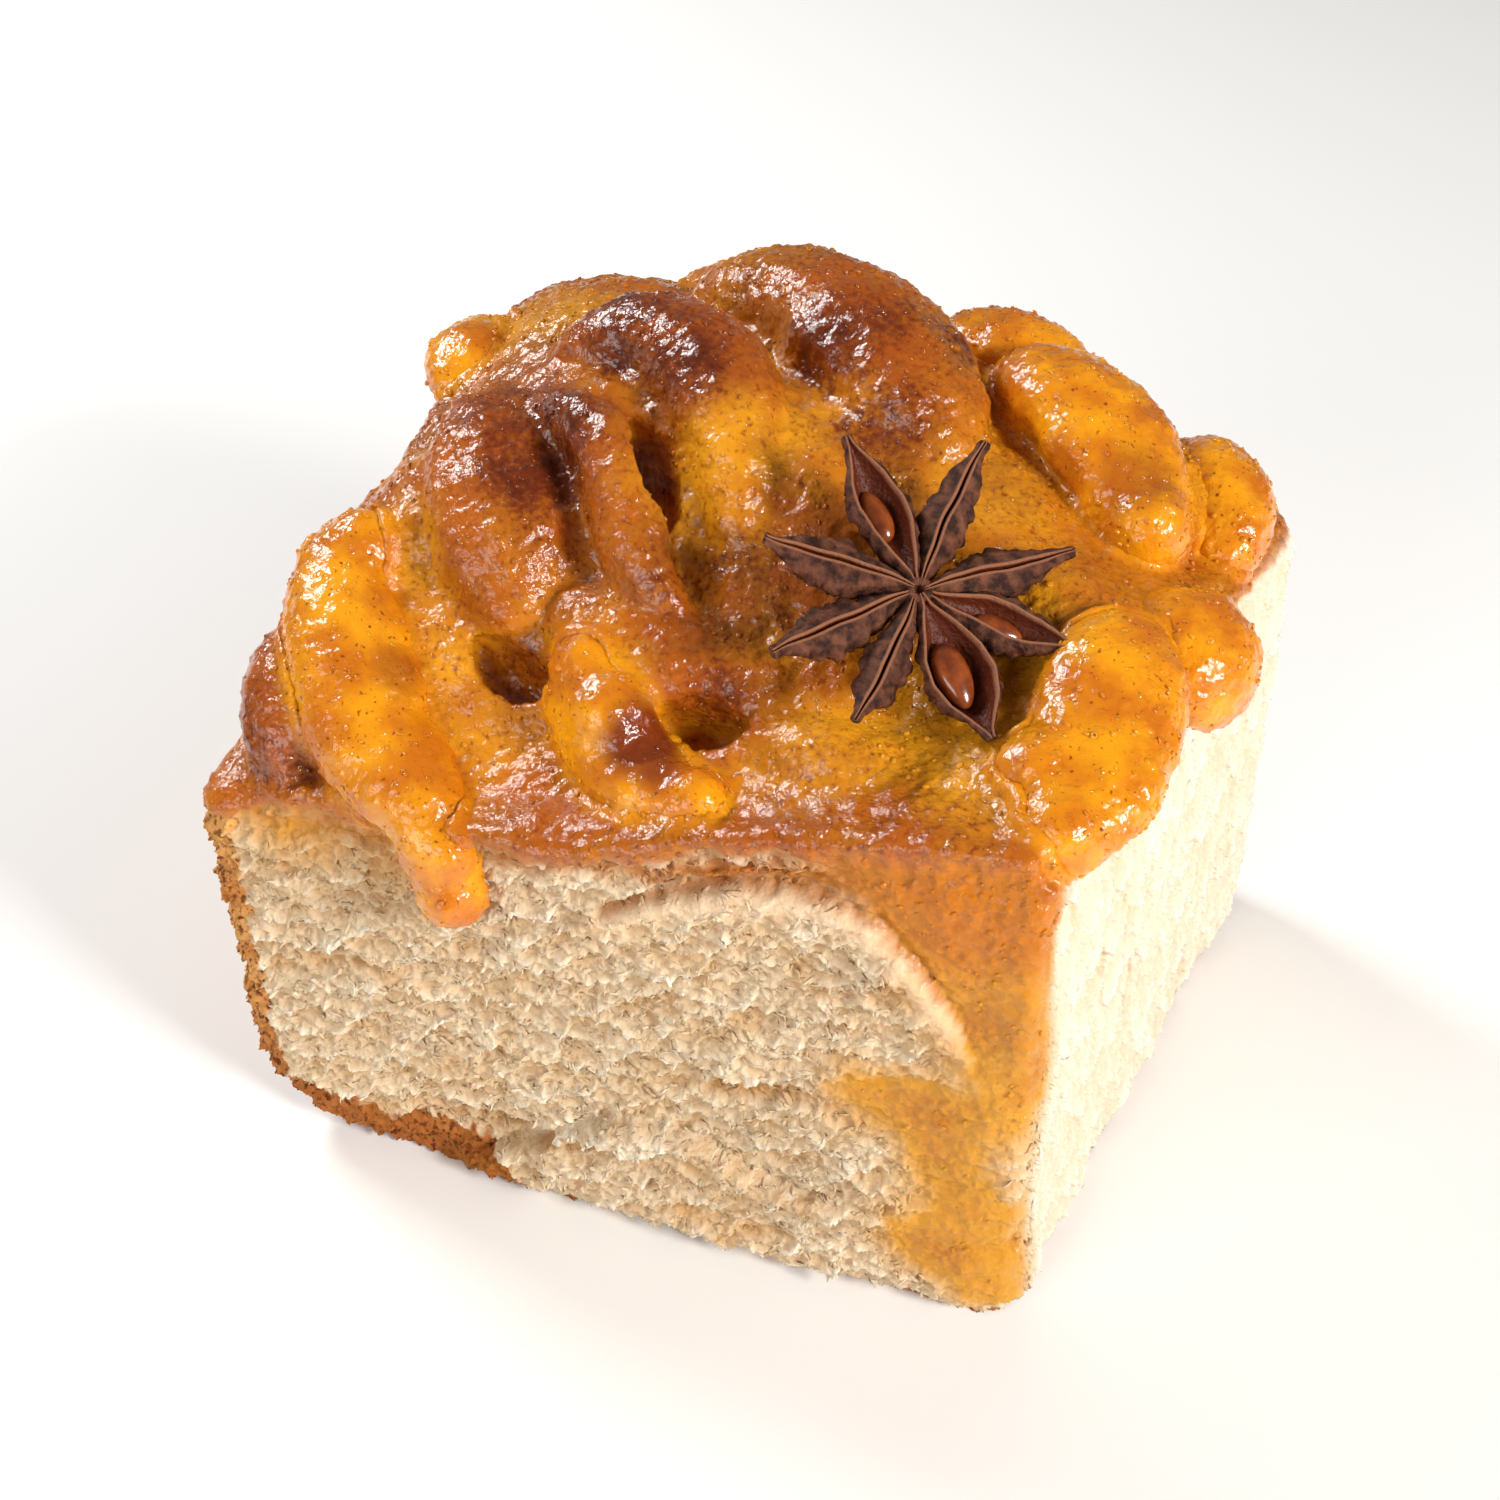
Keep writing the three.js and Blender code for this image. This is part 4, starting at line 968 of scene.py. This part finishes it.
# %% Bread, baked and torn: where it is wet
wet = add_node(tree, "ShaderNodeMath", {0: mask["glazed"], 1: soaked_share}, operation="MAXIMUM")
roughness = add_node(tree, "ShaderNodeMapRange", {0: wet, 3: 0.85, 4: 0.3})
sugar = add_node(tree, "ShaderNodeMapRange", {0: mask["caramel_and_pocket_shade"], 3: 0.55, 4: 1.0})
syrup = add_node(tree, "ShaderNodeMapRange", {0: mask["glazed"], 3: 0.5, 4: 1.0})
sweet = add_node(tree, "ShaderNodeMath", {0: sugar, 1: syrup}, operation="MULTIPLY")
coat = add_node(tree, "ShaderNodeMath", {0: wet, 1: sweet}, operation="MULTIPLY")
plug(shader, {
    "Base Color": bread_colour, "Roughness": roughness, "Coat Weight": coat, "Coat Roughness": 0.04,
    "Specular IOR Level": 0.15, "Subsurface Weight": 0.2, "Subsurface Radius": (1.0, 0.55, 0.25),
    "Subsurface Scale": 1.3 * MM,
})
print("bread material:", len(tree.nodes), "nodes with the wet shine")

# %% [markdown]
# Syrup dries into tiny beads and crumb has pores, both too fine for the mesh. They are bumps: the shading
# direction tilts as if the surface rose and fell. Beads are the middles of Voronoi cells, so each is a
# small dome that catches the lamp on its own.

# %% Bread, baked and torn: beads and pores too fine for the mesh
bead = add_node(tree, "ShaderNodeTexVoronoi", {"Vector": place_mm, "Scale": 1.5}, out="Distance")
bead_dome = add_node(tree, "ShaderNodeMapRange", {0: bead, 1: 0.1, 2: 0.55, 3: 1.0, 4: 0.0},
                     interpolation_type="SMOOTHSTEP")
pore = add_node(tree, "ShaderNodeTexNoise",
                {"Vector": place_mm, "Scale": 1.8, "Detail": 3.0, "Roughness": 0.6})
bead_share = add_node(tree, "ShaderNodeMath", {0: wet, 1: 0.35}, operation="MULTIPLY")
fine_height = add_node(tree, "ShaderNodeMath", {0: bead_dome, 1: bead_share, 2: pore},
                       operation="MULTIPLY_ADD")
roughening = add_node(tree, "ShaderNodeMapRange", {0: wet, 3: 0.5, 4: 0.28})
fine_bump = add_node(tree, "ShaderNodeBump",
                     {"Height": fine_height, "Strength": roughening, "Distance": 0.5 * MM})
plug(shader, {"Normal": fine_bump, "Coat Normal": fine_bump})
print("bread material:", len(tree.nodes), "nodes")

# %% [markdown]
# ## Star anise
#
# The pod is eight boat-shaped carpels round a short column. Each is a woody husk with a ragged keel below,
# two pale lips along the top and, where the seam has sprung open, a smooth red-brown hollow with a seed in
# it. A carpel is built as a row of closed outlines, each drawn from the keel up one side, over the lip and
# down inside, and the outlines are joined into a skin. Widths and depths along its length are short lists,
# read like a boat builder's table of frames.

# %% One outline across a carpel
POD_MIDDLE_MM = Vector((16.7, -10.3, 70.2))
POD_UP = Vector((0.3, -0.36, 0.883)).normalized()
# Direction in degrees, length, width, how far the seam gapes from 0 to 1, and how far it bends sideways.
CARPELS = [
    (137, 15.4, 5.6, 0.75, -0.5), (89, 15.4, 4.8, 0.04, 0.5), (38, 14.3, 4.8, 0.06, 0.4),
    (0, 14.6, 5.4, 0.55, 0.5), (314, 15.4, 6.2, 1.0, 0.5), (267, 14.5, 4.4, 0.04, 0.3),
    (232, 15.2, 5.0, 0.05, -0.5), (188, 14.3, 5.4, 0.06, -0.6),
]
ALONG = [0.0, 0.08, 0.22, 0.40, 0.56, 0.72, 0.85, 0.93, 0.97, 1.0]
WIDTHS = [0.16, 0.30, 0.58, 0.88, 1.0, 0.78, 0.42, 0.24, 0.26, 0.20]
DEPTHS = [0.55, 0.80, 0.98, 1.0, 0.95, 0.75, 0.45, 0.25, 0.20, 0.16]
GAPES = [0.0, 0.05, 0.40, 0.78, 0.88, 0.66, 0.28, 0.08, 0.02, 0.0]
CARPEL_DEPTH_MM = 4.4
LIP_MM = 0.4
TIP_CURL_MM = 1.5
CARPEL_START_MM = 0.5
SIDE_POINTS = 9
WALL_POINTS = 5


def carpel_outline(share, width, gaping, seed):
    """Half an outline as (across, height, part), where part is 0 outside, 1 on the lip and 2 inside."""
    half = width / 2 * np.interp(share, ALONG, WIDTHS)
    deep = CARPEL_DEPTH_MM * np.interp(share, ALONG, DEPTHS)
    deep *= 1 + 0.09 * fractal(Vector((share * 16, seed, 0.5)), 1.0, 2.0, 3)
    gap = 0.05 + gaping * width / 2 * np.interp(share, ALONG, GAPES)
    lip_mm = LIP_MM * min(1, half / 1.2)
    mouth = 0.25 + (0.5 + 2.6 * gaping) * np.interp(share, ALONG, GAPES)
    outline = []
    for i in range(SIDE_POINTS):
        up = i / (SIDE_POINTS - 1)
        bulge = max(half - 0.55 * (gap + lip_mm), 0.1) * math.sin(math.pi * up) ** 0.85
        wrinkle = fractal(Vector((share * 14, up * 2.6, seed)), 1.0, 2.0, 4)
        wrinkle = wrinkle * 0.32 * math.sin(math.pi * up) * half
        outline.append(((gap + lip_mm) * up + bulge + wrinkle, -deep * (1 - up) ** 1.25, 0))
    outline.append((gap + 0.55 * lip_mm, 0.28, 1))
    outline.append((gap + 0.1 * lip_mm, 0.16, 1))
    for i in range(WALL_POINTS):
        down = (i + 1) / WALL_POINTS
        outline.append((gap * math.cos(down * math.pi / 2), 0.1 - mouth * math.sin(down * math.pi / 2), 2))
    return outline


# %% Skin a carpel and put it on the pod
RINGS = 46


def carpel_mesh(work, turn_degrees, length, width, gaping, bend, seed):
    """Adds one closed carpel to a bmesh, in the pod's own millimetres."""
    part_layer = work.verts.layers.float["part"]
    turn = Matrix.Rotation(math.radians(turn_degrees), 3, "Z")
    rings = []
    for i in range(RINGS):
        share = i / (RINGS - 1)
        half_outline = carpel_outline(share, width, gaping, seed)
        other_half = [(-across, height, part) for across, height, part in half_outline[-2:0:-1]]
        sideways = bend * math.sin(math.pi * share) + 0.25 * noise.noise(Vector((share * 4, seed, 7)))
        lift = TIP_CURL_MM * share ** 4 + 0.15 * math.sin(share * 5 + seed)
        ring = []
        for across, height, part in half_outline + other_half:
            outwards = CARPEL_START_MM + share * (length - CARPEL_START_MM)
            vertex = work.verts.new(turn @ Vector((outwards, across + sideways, height + lift)))
            vertex[part_layer] = part
            ring.append(vertex)
        rings.append(ring)
    for ring, following in zip(rings, rings[1:]):
        for k, vertex in enumerate(ring):
            beside = (k + 1) % len(ring)
            work.faces.new((vertex, ring[beside], following[beside], following[k]))
    for ring, sunk_mm in ((rings[0], 0.0), (rings[-1], -0.5)):
        middle = sum((v.co for v in ring), Vector()) / len(ring)
        hub = work.verts.new(middle + turn @ Vector((sunk_mm, 0, 0)))
        hub[part_layer] = 2
        for k, vertex in enumerate(ring):
            work.faces.new((vertex, ring[(k + 1) % len(ring)], hub))


# %% The whole pod
COLUMN_PROFILE_MM = [(0, -3.4), (0.9, -3.3), (1.2, -1.5), (1.25, 0.0), (0.95, 0.3), (0.6, 0.15),
                     (0.42, -0.6), (0, -0.9)]
COLUMN_SIDES = 20

work = bmesh.new()
work.verts.layers.float.new("part")
for seed, (turn_degrees, length, width, gaping, bend) in enumerate(CARPELS):
    carpel_mesh(work, turn_degrees, length, width, gaping, bend, seed * 3.7)
rings = []
for radius, height in COLUMN_PROFILE_MM:
    ring = []
    for k in range(COLUMN_SIDES if radius else 1):
        angle = 2 * math.pi * k / COLUMN_SIDES
        uneven = 1 + 0.15 * noise.noise(Vector((3 * math.cos(angle), 3 * math.sin(angle), height)))
        out = radius * uneven
        ring.append(work.verts.new((out * math.cos(angle), out * math.sin(angle), height)))
    rings.append(ring)
for ring, following in zip(rings, rings[1:]):
    for k in range(COLUMN_SIDES):
        beside = (k + 1) % COLUMN_SIDES
        corners = [ring[k % len(ring)], ring[beside % len(ring)], following[beside % len(following)],
                   following[k % len(following)]]
        work.faces.new(dict.fromkeys(corners))
east = (Vector((1, 0, 0)) - POD_UP * POD_UP.x).normalized()
north = POD_UP.cross(east)
pod_place = Matrix((east, north, POD_UP)).transposed().to_4x4()
pod_place.translation = POD_MIDDLE_MM + ORIGIN_SHIFT / MM
pod_place = Matrix.Scale(MM, 4) @ pod_place
bmesh.ops.recalc_face_normals(work, faces=work.faces)
work.transform(pod_place)
pod = link(finished(work, "star_anise_look"), "star_anise_look")
print("star anise:", len(pod.data.polygons), "faces")

# %% [markdown]
# The husk is dry, woody and grey brown, dusty on its wrinkles and dark in its folds. The lips are worn to
# a paler tan, and the hollows inside are smooth and red brown, as if polished.

# %% Dried star anise husk
husk, tree, shader, place_mm = new_material("dried star anise husk")
part_mask = add_node(tree, "ShaderNodeAttribute", out="Fac", attribute_name="part")
dust = add_node(tree, "ShaderNodeTexNoise", {"Vector": place_mm, "Scale": 0.9, "Detail": 5.0})
dust_share = add_node(tree, "ShaderNodeMapRange", {0: dust, 1: 0.38, 2: 0.68})
lip_share = add_node(tree, "ShaderNodeMapRange", {0: part_mask, 1: 0.35, 2: 0.9})
hollow_share = add_node(tree, "ShaderNodeMapRange", {0: part_mask, 1: 1.15, 2: 1.8})
husk_colour = linear("#30140a")
for share, over in [(dust_share, "#74442e"), (lip_share, "#8f5c40"), (hollow_share, "#5a2410")]:
    husk_colour = add_node(tree, "ShaderNodeMix", {0: share, 6: husk_colour, 7: linear(over)}, out=2,
                           data_type="RGBA")
husk_roughness = add_node(tree, "ShaderNodeMapRange", {0: hollow_share, 3: 0.72, 4: 0.38})
grain = add_node(tree, "ShaderNodeTexNoise", {"Vector": place_mm, "Scale": 2.4, "Detail": 4.0})
grain_bump = add_node(tree, "ShaderNodeBump", {"Height": grain, "Strength": 0.6, "Distance": 0.4 * MM})
plug(shader, {"Base Color": husk_colour, "Specular IOR Level": 0.25, "Roughness": husk_roughness,
              "Normal": grain_bump})
print("husk material:", len(tree.nodes), "nodes")

# %% [markdown]
# A seed is a flat glossy bean. It starts as a sphere of quads, is squeezed to its three sizes, drawn out a
# little towards one end and laid in its carpel.

# %% Seeds
# Carpel, length, width and thickness in millimetres.
SEEDS = {"anise_seed_1": (0, 5.2, 2.6, 1.9), "anise_seed_2": (3, 4.6, 2.4, 1.8),
         "anise_seed_3": (4, 6.4, 3.4, 2.6)}
SEED_PLACE = 0.53
SEED_SINK_MM = 1.2
SEED_TAPER = 0.22

seed_skin, tree, shader, place_mm = new_material("polished anise seed")
marbling = add_node(tree, "ShaderNodeTexNoise", {"Vector": place_mm, "Scale": 0.6, "Detail": 3.0})
marbling_share = add_node(tree, "ShaderNodeMapRange", {0: marbling, 1: 0.35, 2: 0.65})
seed_colour = add_node(tree, "ShaderNodeMix",
                       {0: marbling_share, 6: linear("#62280c"), 7: linear("#96481a")}, out=2,
                       data_type="RGBA")
plug(shader, {"Base Color": seed_colour, "Roughness": 0.22, "Coat Weight": 0.6, "Coat Roughness": 0.06})

seeds = []
for name, (carpel, seed_length, seed_width, seed_height) in SEEDS.items():
    turn_degrees, length = CARPELS[carpel][:2]
    work = bmesh.new()
    bmesh.ops.create_uvsphere(work, u_segments=28, v_segments=18, radius=0.5)
    for vertex in work.verts:
        point = Matrix.Rotation(math.pi / 2, 3, "Y") @ vertex.co
        narrower = 1 - SEED_TAPER * (point.x + 0.5) ** 2
        vertex.co = (point.x * seed_length, point.y * seed_width * narrower,
                     point.z * seed_height * narrower)
    work.transform(Matrix.Translation((SEED_PLACE * length, 0, -SEED_SINK_MM)))
    work.transform(pod_place @ Matrix.Rotation(math.radians(turn_degrees), 4, "Z"))
    bmesh.ops.recalc_face_normals(work, faces=work.faces)
    seeds.append((link(finished(work, name + "_look"), name + "_look"), name))
print("seeds:", len(seeds))

# %% [markdown]
# ## The layer of jam inside
#
# The thin layer between the turns of dough is baked jam, darker and drier than the strips on top. Its
# measured solid already has the right path, so a copy is melted into even quads and its front end is drawn
# back into the crack, where it shows as an amber line.

# %% The layer of jam
FILLING_VOXEL_MM = 0.6
FILLING_SWELL_MM = 0.12
FILLING_BACK_MM = 1.8

filling = link(welded_copy("filling", FILLING_SWELL_MM), "filling_look")
remesh(filling, FILLING_VOXEL_MM, 2)
points = place_in_mm(filling.data)
near_front = 1 - smooth(side_depth(points, "front"), 3, 7)
points[:, 1] += FILLING_BACK_MM * near_front
set_positions(filling.data, points * MM + np.array(ORIGIN_SHIFT))
set_value(filling.data, "syrupy", np.ones(len(points)))
set_value(filling.data, "crust", np.zeros(len(points)))
set_value(filling.data, "scorched", np.full(len(points), 0.3))
use_tree(filling, skin, JAM_SIZES)
apply_modifiers(filling)
print("layer of jam:", len(filling.data.vertices), "points")

# %% [markdown]
# ## Loose crumb and beads of syrup
#
# Torn bread is covered with curled scraps that hang on by a thread, and the glaze with tiny drops of dried
# syrup. Both are one small shape repeated thousands of times, so a tree scatters them: more where a stored
# mask is high, each with its own size and turn, all from fixed seeds. The copies are then bent by noise,
# so that no two are alike.


# %% The scatter tree
def scatter_tree(name, sizes, mask, stretch, rings, material):
    """A geometry tree that scatters small bent ellipsoids over a mesh where a stored mask is high."""
    tree, size, result = relief_tree(name, sizes)
    share = add_node(tree, "GeometryNodeInputNamedAttribute", {"Name": mask}, data_type="FLOAT")
    wanted = add_node(tree, "ShaderNodeMapRange", {0: share, 1: 0.3, 2: 0.9})
    per_m2 = add_node(tree, "ShaderNodeMath", {0: size["Per square mm"], 1: 1e6}, operation="MULTIPLY")
    density = add_node(tree, "ShaderNodeMath", {0: wanted, 1: per_m2}, operation="MULTIPLY")
    spread = add_node(tree, "GeometryNodeDistributePointsOnFaces",
                      {"Mesh": size["Mesh"], "Density": density, "Seed": 5}, out=None)
    scrap = add_node(tree, "GeometryNodeMeshUVSphere",
                     {"Segments": rings[0], "Rings": rings[1], "Radius": 0.5})
    across = add_node(tree, "FunctionNodeRandomValue",
                      {2: size["Smallest mm"], 3: size["Largest mm"], "Seed": 1}, out=1, data_type="FLOAT")
    across_m = add_node(tree, "ShaderNodeMath", {0: across, 1: MM}, operation="MULTIPLY")
    uneven = add_node(tree, "FunctionNodeRandomValue", {0: (0.6, 0.6, 0.6), 1: (1.2, 1.2, 1.2), "Seed": 2},
                      data_type="FLOAT_VECTOR")
    shaped = add_node(tree, "ShaderNodeVectorMath", {0: uneven, 1: stretch}, operation="MULTIPLY")
    scale = add_node(tree, "ShaderNodeVectorMath", {0: shaped, "Scale": across_m}, operation="SCALE")
    swing = add_node(tree, "FunctionNodeRandomValue",
                     {0: (-0.5, -0.5, -3.1), 1: (0.5, 0.5, 3.1), "Seed": 3}, data_type="FLOAT_VECTOR")
    swung = add_node(tree, "FunctionNodeEulerToRotation", {"Euler": swing})
    turned = add_node(tree, "FunctionNodeRotateRotation",
                      {"Rotation": spread.outputs["Rotation"], "Rotate By": swung}, rotation_space="LOCAL")
    copies = add_node(tree, "GeometryNodeInstanceOnPoints",
                      {"Points": spread.outputs["Points"], "Instance": scrap, "Rotation": turned,
                       "Scale": scale})
    real = add_node(tree, "GeometryNodeRealizeInstances", {"Geometry": copies})
    here = add_node(tree, "GeometryNodeInputPosition")
    bend = add_node(tree, "ShaderNodeTexNoise", {"Vector": here, "Scale": 900.0, "Detail": 1.0},
                    out="Color")
    centred = add_node(tree, "ShaderNodeVectorMath", {0: bend, 1: (0.5, 0.5, 0.5)}, operation="SUBTRACT")
    bend_m = add_node(tree, "ShaderNodeMath", {0: size["Bend mm"], 1: MM}, operation="MULTIPLY")
    bent = add_node(tree, "ShaderNodeVectorMath", {0: centred, "Scale": bend_m}, operation="SCALE")
    moved = add_node(tree, "GeometryNodeSetPosition", {"Geometry": real, "Offset": bent})
    painted = add_node(tree, "GeometryNodeSetMaterial", {"Geometry": moved, "Material": material})
    plug(result, {"Mesh": painted})
    return tree


def scatter(name, base, tree, sizes):
    """Applies a scatter tree to a copy of a mesh and returns the scattered piece."""
    piece = link(base.copy(), name)
    return apply_modifiers(use_tree(piece, tree, sizes))


# %% Scatter scraps of crumb, beads on the dough and beads on the jam
SCRAP_SIZES = {"Per square mm": 0.9, "Smallest mm": 0.6, "Largest mm": 1.8, "Bend mm": 1.0}
BEAD_SIZES = {"Per square mm": 0.31, "Smallest mm": 0.22, "Largest mm": 0.75, "Bend mm": 0.12}

scrap_tree = scatter_tree("scraps of crumb", SCRAP_SIZES, "loose", (1.0, 0.3, 0.1), (6, 4), bread)
bead_tree, jam_bead_tree = (
    scatter_tree(name, BEAD_SIZES, "syrupy", (1.0, 0.9, 0.55), (8, 5), material)
    for name, material in (("beads of syrup", bread), ("beads on the jam", jam)))
loose = point_values(dough.data, "torn") * (1 - 0.85 * point_values(dough.data, "torn_right"))
loose *= 1 - smooth(point_values(dough.data, "soaked"), 0.15, 0.5)
set_value(dough.data, "loose", loose * smooth(positions(dough.data)[:, 2] / MM, 1, 3))
scraps = scatter("dough_scraps", dough.data, scrap_tree, SCRAP_SIZES)
beads = scatter("dough_beads", dough.data, bead_tree, BEAD_SIZES)
strips = join_meshes([piece.data for piece in jam_pieces.values()], "all strips")
jam_beads = scatter("jam_beads", strips, jam_bead_tree, BEAD_SIZES)
for piece in (scraps, beads, jam_beads):
    print(piece.name, "has", len(piece.data.loops) - 2 * len(piece.data.polygons), "triangles")

# %% [markdown]
# ## Cutting the dough into pieces
#
# The dough has more faces than one piece may have. The dough has many faces, so it is cut like a loaf into
# smaller pieces: first under the glazed top, then through the block from corner to corner, then between the
# torn right and front sides, and then the top, the front and the right side once more each. Each cut is
# closed with a flat face. The pieces touch along the cuts and their outer skins are untouched, so no seam
# shows.


# %% Cut the dough
def half_of(mesh, plane, keep_front, name):
    """The part of a closed mesh in front of a plane or behind it, closed again with a flat face."""
    middle, facing = plane
    work = bmesh.new()
    work.from_mesh(mesh)
    cut = bmesh.ops.bisect_plane(
        work, geom=work.verts[:] + work.edges[:] + work.faces[:], dist=1e-7, plane_no=facing,
        plane_co=middle * MM + ORIGIN_SHIFT, clear_inner=keep_front, clear_outer=not keep_front)
    rim = [part for part in cut["geom_cut"] if isinstance(part, bmesh.types.BMEdge)]
    filled = bmesh.ops.triangle_fill(work, edges=rim, use_beauty=False)
    lid = [part for part in filled["geom"] if isinstance(part, bmesh.types.BMFace)]
    bmesh.ops.recalc_face_normals(work, faces=lid)
    for edge in rim:
        edge.smooth = False
    for face in lid:
        face.smooth = False
    return finished(work, name)


# Each cut: the part to cut, the two parts it gives, a point on the plane and the way to the first part.
CUTS = [
    ("dough", "dough_top", "dough_block", (0, 0, 50.4), (-0.195, 0.073, 1.0)),
    ("dough_block", "dough_torn_side", "dough_crust_side", (2, 0, 0), (0.62, -0.78, 0)),
    ("dough_torn_side", "dough_right", "dough_front", (33, -27, 0), (0.62, 0.78, 0)),
    ("dough_top", "dough_top_right", "dough_top_left", (2, 0, 0), (1, 0.1, 0)),
    ("dough_front", "dough_front_right", "dough_front_left", (2, 0, 0), (1, 0, 0)),
    ("dough_right", "dough_right_back", "dough_right_front", (0, 6, 0), (0, 1, 0)),
]

dough.data.polygons.foreach_set("use_smooth", [True] * len(dough.data.polygons))
parts = {"dough": dough.data}
for whole, first, second, middle, facing in CUTS:
    plane = (Vector(middle), Vector(facing))
    uncut = parts.pop(whole)
    parts[first] = half_of(uncut, plane, True, first)
    parts[second] = half_of(uncut, plane, False, second)
bpy.data.objects.remove(dough)
dough_pieces = [link(mesh, name) for name, mesh in parts.items()]
for piece in dough_pieces:
    print(piece.name, "has", len(piece.data.loops) - 2 * len(piece.data.polygons), "triangles")


# %% Give each piece its material and hide the solid it stands for
def declare(piece, node, material):
    """Gives a piece its material and smooth shading, and ties it to the measured frame."""
    if piece not in dough_pieces:
        piece.data.polygons.foreach_set("use_smooth", [True] * len(piece.data.polygons))
    piece.data.materials.clear()
    piece.data.materials.append(material)
    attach(piece, "root")
    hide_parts(node)


for piece in dough_pieces + [scraps, beads]:
    declare(piece, "roll", bread)
declare(filling, "filling", jam)
for name, piece in jam_pieces.items():
    declare(piece, name, jam)
declare(jam_beads, "jam_corner", jam)
declare(pod, "star_anise", husk)
for piece, name in seeds:
    declare(piece, name, seed_skin)

# %% [markdown]
# ## The floor
#
# A plain pale floor catches the contact shadow, so that the cake stands on something. It is stage, not part
# of the object.

# %% Floor
FLOOR_REACH = 3.0

floor_mesh = bpy.data.meshes.new("floor")
corners = [(x * FLOOR_REACH, y * FLOOR_REACH, 0) for x, y in ((-1, -1), (1, -1), (1, 1), (-1, 1))]
floor_mesh.from_pydata(corners, [], [(0, 1, 2, 3)])
paper = bpy.data.materials.new("white studio paper")
paper.use_nodes = True
plug(paper.node_tree.nodes["Principled BSDF"], {"Base Color": linear("#f4f3f1"), "Roughness": 0.9})
floor_mesh.materials.append(paper)
link(floor_mesh, "floor")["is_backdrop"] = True

# %% Compare the sizes and finish
visual_box = [list(corner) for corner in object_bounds()]
for axis, label in enumerate("XYZ"):
    low = (cad_box[0][axis] - visual_box[0][axis]) / MM
    high = (visual_box[1][axis] - cad_box[1][axis]) / MM
    print(label, "stands proud by", round(low, 2), "and", round(high, 2), "mm")
